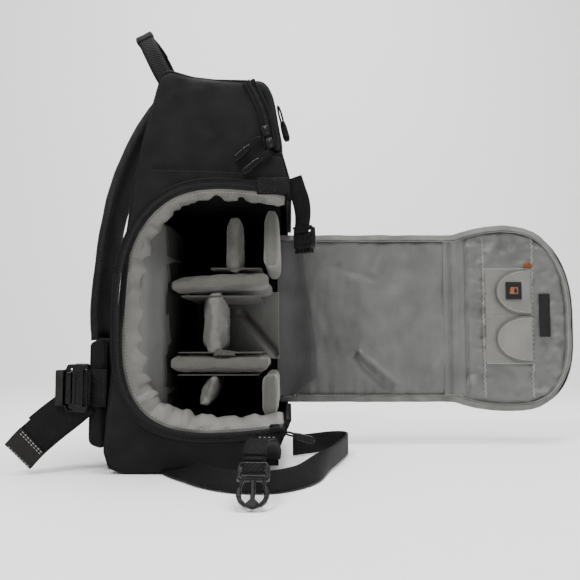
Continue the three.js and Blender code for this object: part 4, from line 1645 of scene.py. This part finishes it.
def build_sling_strap():
    """The shoulder strap behind the bag: a padded mesh strap, bound and run with webbing."""
    route = curve_through(STRAP_ROUTE, 120)
    strap = padded_strap("sling_strap_pad", route, AWAY, STRAP_WIDTH, STRAP_THICK - 0.001,
                         air_mesh)
    fit(strap, "root", "mesh", "sling_strap")
    for name, side in (("near", -1), ("far", 1)):
        edge = [p + Vector((0, side * (STRAP_WIDTH / 2 - 0.001), 0)) for p in route]
        fit(ribbon(f"sling_strap_binding_{name}", edge, sideways(route),
                   0.0085, 0.0026, black_binding), "root", "webbing")
        run = [p + Vector((0, side * (STRAP_WIDTH / 2 + 0.0006), 0)) for p in route]
        fit(stitches(f"sling_strap_stitches_{name}", run, (0, side, 0), black_thread), "root", "webbing")
    outer = [p + Vector((d.z, 0, -d.x)).normalized() * (STRAP_THICK / 2 + 0.0002)
             for p, d in zip(route, directions(route))]
    fit(ribbon("sling_strap_runner", outer[4:-4], AWAY, WEBBING, 0.0018, black_webbing),
        "root", "webbing")


def build_hip():
    """The hip pad with its piping, and the webbing tab that holds the large buckle."""
    pad = stuffed("hip_pad", "hip_pad_cloth", shell_cloth, 0.005, 3.0, 0.003, 0.0009, 0.03, 41)
    fit(pad, "root", "shell", "hip_pad")
    low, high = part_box("hip_pad")
    bpy.context.view_layer.update()
    ring = rounded([(low.x + 0.004, low.z + 0.006), (high.x - 0.004, low.z + 0.004),
                    (high.x - 0.004, high.z - 0.004), (low.x + 0.004, high.z - 0.004)], 0.010, 10)
    for name, y, facing in (("near", low.y, 1), ("far", high.y, -1)):
        line = []
        for x, z in ring:
            place, _ = closest_on(pad, Vector((x, y - facing * 0.05, z)), Vector((0, facing, 0)))
            if place is not None and (not line or (place - line[-1]).length > 0.0004):
                line.append(place)
        fit(tube(f"hip_piping_{name}", resample(line, 110, True), 0.0013, black_binding, True),
            "root", "shell")
    tab_low, tab_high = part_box("hip_tab")
    middle = (tab_low + tab_high) / 2
    line = resample([(tab_low.x - 0.0015, middle.y, middle.z), (tab_high.x + 0.003, middle.y, middle.z)], 16)
    band = ribbon("hip_tab_webbing", line, UP, tab_high.z - tab_low.z, tab_high.y - tab_low.y,
                  black_webbing)
    fit(band, "root", "webbing", "hip_tab")
    for name, x in (("back", tab_low.x + 0.003), ("front", tab_high.x - 0.0005)):
        run = [Vector((x, tab_low.y - 0.0003, tab_low.z + 0.002 + 0.0045 * k)) for k in range(9)]
        fit(stitches(f"hip_tab_stitches_{name}", run, NEAR, black_thread), "root", "webbing")


def build_carry_handle():
    """A webbing loop from one top back corner to the other, with a doubled grip at its top."""
    half = [(-0.046, -0.046, 0.445), (-0.057, -0.049, 0.462), (-0.073, -0.042, 0.496),
            (-0.084, -0.024, 0.520), (-0.088, 0.0, 0.526)]
    route = curve_through(half + [(x, -y, z) for x, y, z in half[-2::-1]], 90)
    for k, p in enumerate(route):
        loose = math.sin(math.pi * k / 89)
        p.x += loose * (0.010 * smooth_step((k - 42) / 25) - 0.002)
    across = Vector((0.88, 0, 0.47))
    band = ribbon("carry_handle_webbing", route, across, 0.0205, 0.0030, black_webbing, 0.0008)
    grip = ribbon("carry_handle_grip", route[30:60], across, 0.0222, 0.0052, black_webbing)
    ends = [stitches(f"carry_handle_end_{k}", [p + across * w for p in route[k:k + 8]], (0, -1, 0.3),
                     black_thread, 0.0018) for k in (3, 80) for w in (-0.007, 0.007)]
    fit(join("carry_handle_loop", [band, grip] + ends), "carry_handle", "webbing", "carry_handle")


def twisted(points, first, last):
    """The across direction along a strap that twists from first to last."""
    n = len(points)
    return [Vector(first).lerp(Vector(last), smooth_step(i / (n - 1))) for i in range(n)]


def build_upper_strap():
    """The strap that hangs beside the opening, and its anchor sewn to the panel."""
    low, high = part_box("upper_strap")
    middle = (low.y + high.y) / 2
    route = curve_through([
        (0.0990, NEAR_Y - 0.0024, high.z + 0.001), (0.1030, NEAR_Y + 0.001, high.z - 0.010),
        (0.1078, middle - 0.006, high.z - 0.022), (0.1100, middle - 0.001, high.z - 0.034),
        (0.1098, middle, low.z + 0.004), (0.1085, middle - 0.0022, low.z - 0.0085)], 60)
    turns = twisted(route, (0.97, -0.1, 0.2), (0.77, -0.64, 0))
    band = ribbon("upper_strap_webbing", route, turns, STRAP_WEBBING, WEBBING_THICK, black_webbing, 0.0006)
    fit(band, "upper_strap", "webbing", "upper_strap")
    low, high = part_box("upper_strap_anchor")
    z = (low.z + high.z) / 2
    line = resample([(low.x, low.y + 0.0012, z), (high.x + 0.001, low.y + 0.0012, z)], 20)
    fit(ribbon("upper_strap_anchor_webbing", line, UP, high.z - low.z, WEBBING_THICK, black_webbing),
        "root", "webbing", "upper_strap_anchor")
    box_run = rounded([(low.x + 0.003, low.z + 0.002), (low.x + 0.02, low.z + 0.002),
                       (low.x + 0.02, high.z - 0.002), (low.x + 0.003, high.z - 0.002)], 0.0006, 2)
    y = low.y - 0.0002
    run = [Vector((x, y, z)) for x, z in box_run + box_run[:1]]
    cross = [(low.x + 0.003, y, low.z + 0.002), (low.x + 0.02, y, high.z - 0.002)]
    parts = [stitches("anchor_box", run, NEAR, black_thread),
             stitches("anchor_cross", resample(cross, 8), NEAR, black_thread)]
    fit(join("upper_anchor_stitches", parts), "root", "webbing")


def build_lower_strap():
    """The strap at the foot of the opening, its folded tail, and its anchor."""
    route = curve_through([(0.076, -0.1246, 0.018), (0.077, -0.138, 0.028), (0.075, -0.165, 0.038),
                           (0.070, -0.206, 0.046), (0.066, -0.248, 0.048), (0.065, -0.2638, 0.0377)], 90)
    band = ribbon("lower_strap_webbing", route, RIGHT, STRAP_WEBBING, WEBBING_THICK, black_webbing,
                  0.0005)
    tail = ribbon("lower_strap_tail", [p + Vector((0.0004, 0, 0.0023)) for p in route[34:88]],
                  RIGHT, STRAP_WEBBING, 0.0020, black_webbing, 0.0004)
    fold = ribbon("lower_strap_fold", [p + Vector((0, 0, 0.0040)) for p in route[34:38]], RIGHT,
                  STRAP_WEBBING, 0.0018, black_webbing)
    line = [route[36] + Vector((x / 1000, 0, 0.0052)) for x in range(-9, 10, 3)]
    seam = stitches("lower_strap_fold_stitches", line, UP, gray_thread)
    fit(join("lower_strap_band", [band, tail, fold, seam]), "lower_strap", "webbing", "lower_strap")
    low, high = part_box("lower_strap_anchor")
    x = (low.x + high.x) / 2
    line = resample([(x, low.y + 0.001, low.z), (x, low.y + 0.001, high.z)], 12)
    fit(ribbon("lower_strap_anchor_webbing", line, RIGHT, high.x - low.x, WEBBING_THICK, black_webbing),
        "root", "webbing", "lower_strap_anchor")


def build_waist_webbing():
    """Webbing that comes out under the bag, lies flat, and stands up as it turns."""
    low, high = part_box("waist_webbing")
    z = (low.z + high.z) / 2
    route = ((-0.030, -0.1145), (0.002, -0.168), (0.026, -0.196), (0.054, -0.212), (0.084, -0.208),
             (0.110, -0.178), (0.132, -0.124), (0.154, -0.046), (0.168, 0.020), (0.164, 0.043),
             (0.147, 0.041), (0.124, 0.020), (0.100, 0.0))
    line = curve_through([Vector((x, y, z)) for x, y in route], 220)
    across = []
    half = (high.z - low.z) / 2
    for p, d, s in zip(line, directions(line), lengths(line)):
        lean = math.radians(10 + 32 * smooth_step((s - 0.01) / 0.05) + 48 * smooth_step((s - 0.20) / 0.09))
        lean += 0.06 * rough(p, 0.08, 33)
        side = Vector((-d.y, d.x, 0)).normalized()
        across.append(side * math.cos(lean) + Vector((0, 0, math.sin(lean))))
        p.z = low.z + 0.0022 + (half - 0.001) * math.sin(lean)
    band = ribbon("waist_webbing_band", line, across, high.z - low.z - 0.0004, WEBBING_THICK, black_webbing,
                  0.0006)
    fit(band, "root", "webbing", "waist_webbing")


def build_strap_tail():
    """The doubled webbing tail of the large buckle, with its hem."""
    low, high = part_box("strap_tail")
    middle = (low.y + high.y) / 2
    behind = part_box("sling_buckle_male")[1].y + 0.002
    route = curve_through([(-0.126, behind, 0.079), (-0.141, behind - 0.001, 0.066),
                           (-0.158, middle + 0.002, 0.0525), (-0.177, middle - 0.001, 0.0355),
                           (-0.1925, middle, 0.0190)], 70)
    band = ribbon("strap_tail_webbing", route, sideways(route), WEBBING_WIDE, 0.0024, black_webbing, 0.0012)
    layer = ribbon("strap_tail_layer", [p + Vector((-0.0022, 0.0026, 0.002)) for p in route[2:44]],
                   sideways(route[2:44]), WEBBING_WIDE, WEBBING_THICK, black_webbing)
    hem = ribbon("strap_tail_hem", [p + Vector((0, -0.0022, 0)) for p in route[51:]], sideways(route[51:]),
                 WEBBING_WIDE, WEBBING_THICK, hem_webbing)
    seams = []
    for k in (52, 54, 68):
        d = directions(route)[k]
        side = Vector((d.z, 0, -d.x)).normalized()
        line = [route[k] + side * (s / 1000) + Vector((0, -0.0036, 0)) for s in range(-17, 18, 4)]
        seams.append(stitches(f"tail_hem_{k}", line, NEAR, gray_thread))
    male_low, male_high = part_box("sling_buckle_male")
    middle_z = (male_low.z + male_high.z) / 2
    inside = [Vector((x, behind - 0.0022, middle_z)) for x in (-0.1500, -0.1430, -0.1360, -0.1290)]
    loop = ribbon("strap_tail_loop", inside, UP, WEBBING_WIDE, 0.0024, black_webbing)
    fit(join("strap_tail_band", [band, layer, hem, loop] + seams), "sling_tail", "webbing", "strap_tail")


build_sling_strap()
build_hip()
build_carry_handle()
build_upper_strap()
build_lower_strap()
build_waist_webbing()
build_strap_tail()


# ---------------------------------------------------------------- buckles, sliders and pulls

def build_sling_buckle():
    """Wide side-release buckle: a shell with a window, and a male half with a prong above and below."""
    low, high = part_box("sling_buckle_female")
    size, middle = high - low, (low + high) / 2
    place = upright(middle)
    front = upright((middle.x, low.y + 0.0012, middle.z))
    body = box_outline(size.x, size.z, 0.005)
    window = shifted(box_outline(0.0045, size.z - 0.016, 0.002), -0.0022, 0)
    slot = shifted(box_outline(0.0030, size.z - 0.012, 0.0014), 0.0050, 0)
    rim = box_outline(size.x - 0.001, size.z - 0.001, 0.0045)
    parts = [plate("female_body", [body, slot], size.y - 0.0024, 0.0018, place, plastic),
             plate("female_rim", [rim, window, slot], 0.0024, 0.0009, front, plastic)]
    y = low.y + 0.003
    line = resample([(high.x + 0.002, y, middle.z), (high.x - 0.006, y, middle.z)], 8)
    parts.append(ribbon("female_webbing", line, UP, WEBBING_WIDE, 0.0026, black_webbing))
    fit(join("sling_buckle_shell", parts), "root", "plastic", "sling_buckle_female")
    low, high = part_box("sling_buckle_male")
    size, middle = high - low, (low + high) / 2
    place = upright(middle)
    w, h = size.x / 2, size.z / 2
    edge = [(-w, -h + 0.008), (-w + 0.008, -h + 0.006), (-w + 0.010, -h), (w - 0.010, -h - 0.0005),
            (w, -h + 0.010), (w, h - 0.010), (w - 0.010, h + 0.0005), (-w + 0.010, h),
            (-w + 0.008, h - 0.006), (-w, h - 0.008)]
    slots = [shifted(box_outline(0.0032, 0.036, 0.0014), -w + 0.0055, 0),
             shifted(box_outline(0.0066, 0.0030, 0.0014), -w + 0.0165, h - 0.0056),
             shifted(box_outline(0.0066, 0.0030, 0.0014), -w + 0.0165, -h + 0.0056)]
    parts = [plate("male_body", [rounded(edge, 0.0028, 5)] + slots, size.y, 0.0012, place, plastic)]
    rib = upright((middle.x - 0.002, low.y - 0.0004, middle.z))
    parts.append(plate("male_rib", [box_outline(0.0060, 0.034, 0.0016)], 0.0022, 0.0007, rib, plastic))
    wrap = [Vector((low.x + x, middle.y + y, middle.z)) for x, y in
            ((0.0065, -0.0040), (0.0030, -0.0043), (-0.0006, -0.0036), (-0.0014, -0.0004), (-0.0006, 0.0034),
             (0.0030, 0.0040))]
    parts.append(ribbon("male_webbing", curve_through(wrap, 24), UP, WEBBING_WIDE, WEBBING_THICK,
                        hem_webbing))
    fit(join("sling_buckle_prongs", parts), "sling_tail", "plastic", "sling_buckle_male")


def build_upper_buckle():
    """The female half that hangs on the upper strap: ladder bar, shell, and the prong mouth below."""
    low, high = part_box("upper_buckle_female")
    middle = (low + high) / 2
    across = Vector((0.77, -0.64, 0)).normalized()
    height = high.z - low.z
    place = frame_at(middle, across, UP)
    shell_outline = rounded([
        (-0.0135, 0.0), (-0.0125, -height / 2 + 0.002), (0.0125, -height / 2 + 0.002), (0.0135, 0.0),
        (0.0128, height / 2 - 0.001), (-0.0128, height / 2 - 0.001)], 0.0028, 5)
    bar_slot = shifted(box_outline(0.021, 0.0030, 0.0013), 0, height / 2 - 0.0056)
    parts = [plate("upper_body", [shell_outline, bar_slot], 0.0078, 0.0016, place, plastic)]
    out = place.to_3x3() @ UP
    if out.y > 0:
        out = -out
    face = frame_at(middle + out * 0.0040 + Vector((0, 0, -0.0005)), across, UP)
    parts.append(plate("upper_face", [box_outline(0.0215, 0.0105, 0.0022)], 0.0022, 0.0009, face, plastic))
    top = frame_at(middle + out * 0.0036 + Vector((0, 0, height / 2 - 0.0016)), across, UP)
    parts.append(plate("upper_bar", [box_outline(0.0262, 0.0030, 0.0013)], 0.0036, 0.0011, top, plastic))
    for k in range(5):
        foot = middle + across * (0.0050 * (k - 2)) + Vector((0, 0, -height / 2 + 0.0002))
        tooth = frame_at(foot, across, UP)
        tip = box_outline(0.0026, 0.0062, 0.0010)
        parts.append(plate(f"upper_tooth_{k}", [tip], 0.0060, 0.0008, tooth, plastic))
    fit(join("upper_buckle_shell", parts), "upper_strap", "plastic", "upper_buckle_female")


def build_lower_buckle():
    """The male half on the lower strap: ladder frame, two sprung prongs, and a guide tongue between."""
    low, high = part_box("lower_buckle_male")
    middle = (low + high) / 2
    tilt = math.radians(-36)
    down = Vector((0, math.sin(tilt), -math.cos(tilt)))
    place = frame_at(middle, RIGHT, -down)
    half = 0.0205
    frame_edge = rounded([
        (-0.014, half - 0.0165), (0.014, half - 0.0165), (0.014, half - 0.004), (0.0115, half),
        (-0.0115, half), (-0.014, half - 0.004)], 0.0022, 5)
    slots = [shifted(box_outline(0.0205, 0.0032, 0.0013), 0, half - 0.0128),
             shifted(box_outline(0.0205, 0.0026, 0.0012), 0, half - 0.0042)]
    parts = [plate("ladder", [frame_edge] + slots, 0.0060, 0.0012, place, plastic)]
    for side in (-1, 1):
        arm = [(side * x, half - drop) for x, drop in (
            (0.0070, 0.0160), (0.0108, 0.0160), (0.0116, 0.022), (0.0136, 0.0245), (0.0140, 0.030),
            (0.0118, 0.0355), (0.0070, 0.0392), (0.0050, 0.0375), (0.0090, 0.0330), (0.0098, 0.0270),
            (0.0088, 0.0200))]
        if side < 0:
            arm.reverse()
        parts.append(plate(f"arm_{side}", [rounded(arm, 0.0012, 3)], 0.0052, 0.0010, place, plastic))
    tongue = [(-0.0022, half - 0.0160), (0.0022, half - 0.0160), (0.0020, half - 0.0330),
              (0.0075, half - 0.0385), (0.0, half - 0.0412), (-0.0075, half - 0.0385),
              (-0.0020, half - 0.0330)]
    parts.append(plate("tongue", [rounded(tongue[::-1], 0.0010, 3)], 0.0046, 0.0009, place, plastic))
    band = [middle - down * (half - s) + Vector((0, -0.0026, 0.001)) for s in (0.001, 0.005, 0.0095)]
    parts.append(ribbon("ladder_webbing", curve_through(band, 12), RIGHT, 0.0195, 0.0020,
                        black_webbing))
    fit(join("lower_buckle_prongs", parts), "lower_strap", "plastic", "lower_buckle_male")


def build_slider(name, node, body, along):
    """A coil-zip slider: body, raised bridge for the pull, and a flared nose."""
    low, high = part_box(node)
    middle = (low + high) / 2
    along = Vector(along)
    place = frame_at((middle.x, middle.y + 0.0008, middle.z), along, (along.z, 0, -along.x))
    nose = rounded([(-0.0055, -0.0030), (0.0035, -0.0042), (0.0058, -0.0020), (0.0058, 0.0020),
                    (0.0035, 0.0042), (-0.0055, 0.0030)], 0.0012, 4)
    bridge = [middle + along * s + Vector((0, y, 0)) for s, y in
              ((-0.0044, -0.0006), (-0.0036, -0.0022), (0.0, -0.0030), (0.0034, -0.0022), (0.0042, -0.0004))]
    parts = [plate("slider_body", [nose], 0.0026, 0.0008, place, slider_paint),
             ribbon("slider_bridge", curve_through(bridge, 16), (along.z, 0, -along.x), 0.0022, 0.0009,
                    slider_paint)]
    fit(join(name, parts), body, "plastic", node)


def build_pull(name, node, body, start, knee, y, grip_length=0.024):
    """A cord pull: a doubled cord from the slider, into a moulded grip with finger ribs."""
    start, knee = Vector((start[0], y, start[1])), Vector((knee[0], y, knee[1]))
    along = (knee - start).normalized()
    side = Vector((along.z, 0, -along.x))
    parts = []
    for offset in (-0.0013, 0.0013):
        half_way = start.lerp(knee, 0.5) + side * offset * 1.1 + Vector((0, -0.0008, 0))
        line = [start + side * offset * 0.3, half_way, knee + side * offset,
                knee + along * 0.004 + side * offset * 0.6]
        parts.append(tube(f"cord_{offset}", curve_through(line, 14), 0.0011, black_binding))
    centre = knee + along * grip_length / 2
    half = grip_length / 2
    shape = rounded([
        (-half, -0.0024), (-half * 0.4, -0.0036), (half * 0.7, -0.0038), (half, -0.0024),
        (half, 0.0024), (half * 0.7, 0.0038), (-half * 0.4, 0.0036), (-half, 0.0024)], 0.0014, 4)
    place = frame_at(centre, along, side)
    parts.append(plate("grip", [shape], 0.0042, 0.0013, place, plastic))
    for k in range(4):
        rib = frame_at(centre + along * (0.0028 * k - 0.003), along, side)
        parts.append(plate(f"rib_{k}", [box_outline(0.0011, 0.0062, 0.0005)], 0.0052, 0.0004, rib, plastic))
    fit(join(name, parts), body, "plastic", node)


def build_zip_hardware():
    """Sliders on their tapes, and pulls given by their slider end and their grip end."""
    top_along = (-0.342, 0, 0.94)
    build_slider("top_slider_a_body", "top_slider_a", "top_slider_a", top_along)
    build_slider("top_slider_b_body", "top_slider_b", "top_slider_b", top_along)
    build_slider("main_slider_body", "main_slider", "main_slider", (-0.985, 0, -0.174))
    pulls = (("top_pull_a", "top_slider_a", (0.074, 0.3476), (0.063, 0.338)),
             ("top_pull_b", "top_slider_b", (0.064, 0.363), (0.053, 0.353)),
             ("lid_pull", "top_lid", (0.0822, 0.406), (0.087, 0.388)),
             ("main_pull", "main_slider", (0.090, 0.045), (0.099, 0.0424)))
    for node, body, start, knee in pulls:
        low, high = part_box(node)
        build_pull(node + "_cord", node, body, start, knee, (low.y + high.y) / 2)


build_sling_buckle()
build_upper_buckle()
build_lower_buckle()
build_zip_hardware()


# ---------------------------------------------------------------- studio

WALL_AT = 1.45
SWEEP_RADIUS = 0.025


def build_studio():
    """A plain pale floor that curves up into a wall, seen by soft light from above and both sides."""
    rows = []
    for x in (-4.0, 4.0):
        row = [Vector((x, y, 0)) for y in (-3.0, -1.0, 0.5, 1.2, WALL_AT - SWEEP_RADIUS)]
        for k in range(1, 9):
            a = math.pi / 2 * k / 8
            row.append(Vector((x, WALL_AT - SWEEP_RADIUS * (1 - math.sin(a)),
                               SWEEP_RADIUS * (1 - math.cos(a)))))
        row += [Vector((x, WALL_AT, z)) for z in (0.6, 1.5, 3.5)]
        rows.append(row)
    grid("studio_sweep", rows[::-1], studio_white)
    lights = (("key_light", (-0.7, -1.5, 1.9), (0.05, 0, 0.2), 0.6, 46.0),
              ("fill_light", (1.6, -1.4, 1.0), (0.2, 0, 0.2), 1.8, 8.0),
              ("top_light", (0.35, -0.15, 1.7), (0.2, 0, 0.0), 0.8, 32.0),
              ("wall_light", (0.1, 0.55, 2.3), (0.1, 1.45, 0.5), 1.6, 27.0))
    for name, place, target, size, power in lights:
        data = bpy.data.lights.new(name, "AREA")
        data.shape = "SQUARE"
        data.size = size
        data.energy = power
        light = bpy.data.objects.new(name, data)
        light.location = place
        light.rotation_euler = (Vector(target) - Vector(place)).to_track_quat("-Z", "Y").to_euler()
        scene.collection.objects.link(light)
    world = bpy.data.worlds.new("studio_world")
    world.use_nodes = True
    background = world.node_tree.nodes["Background"]
    background.inputs["Color"].default_value = (0.95, 0.96, 1.0, 1)
    background.inputs["Strength"].default_value = 0.38
    scene.world = world


def build_camera():
    """The camera looks along +Y, tilted up a little."""
    data = bpy.data.cameras.new("camera")
    data.lens = CAMERA_LENS
    camera = bpy.data.objects.new("camera", data)
    camera.location = CAMERA_AT
    camera.rotation_euler = (CAMERA_TILT, 0, 0)
    scene.collection.objects.link(camera)
    scene.camera = camera


build_studio()
build_camera()
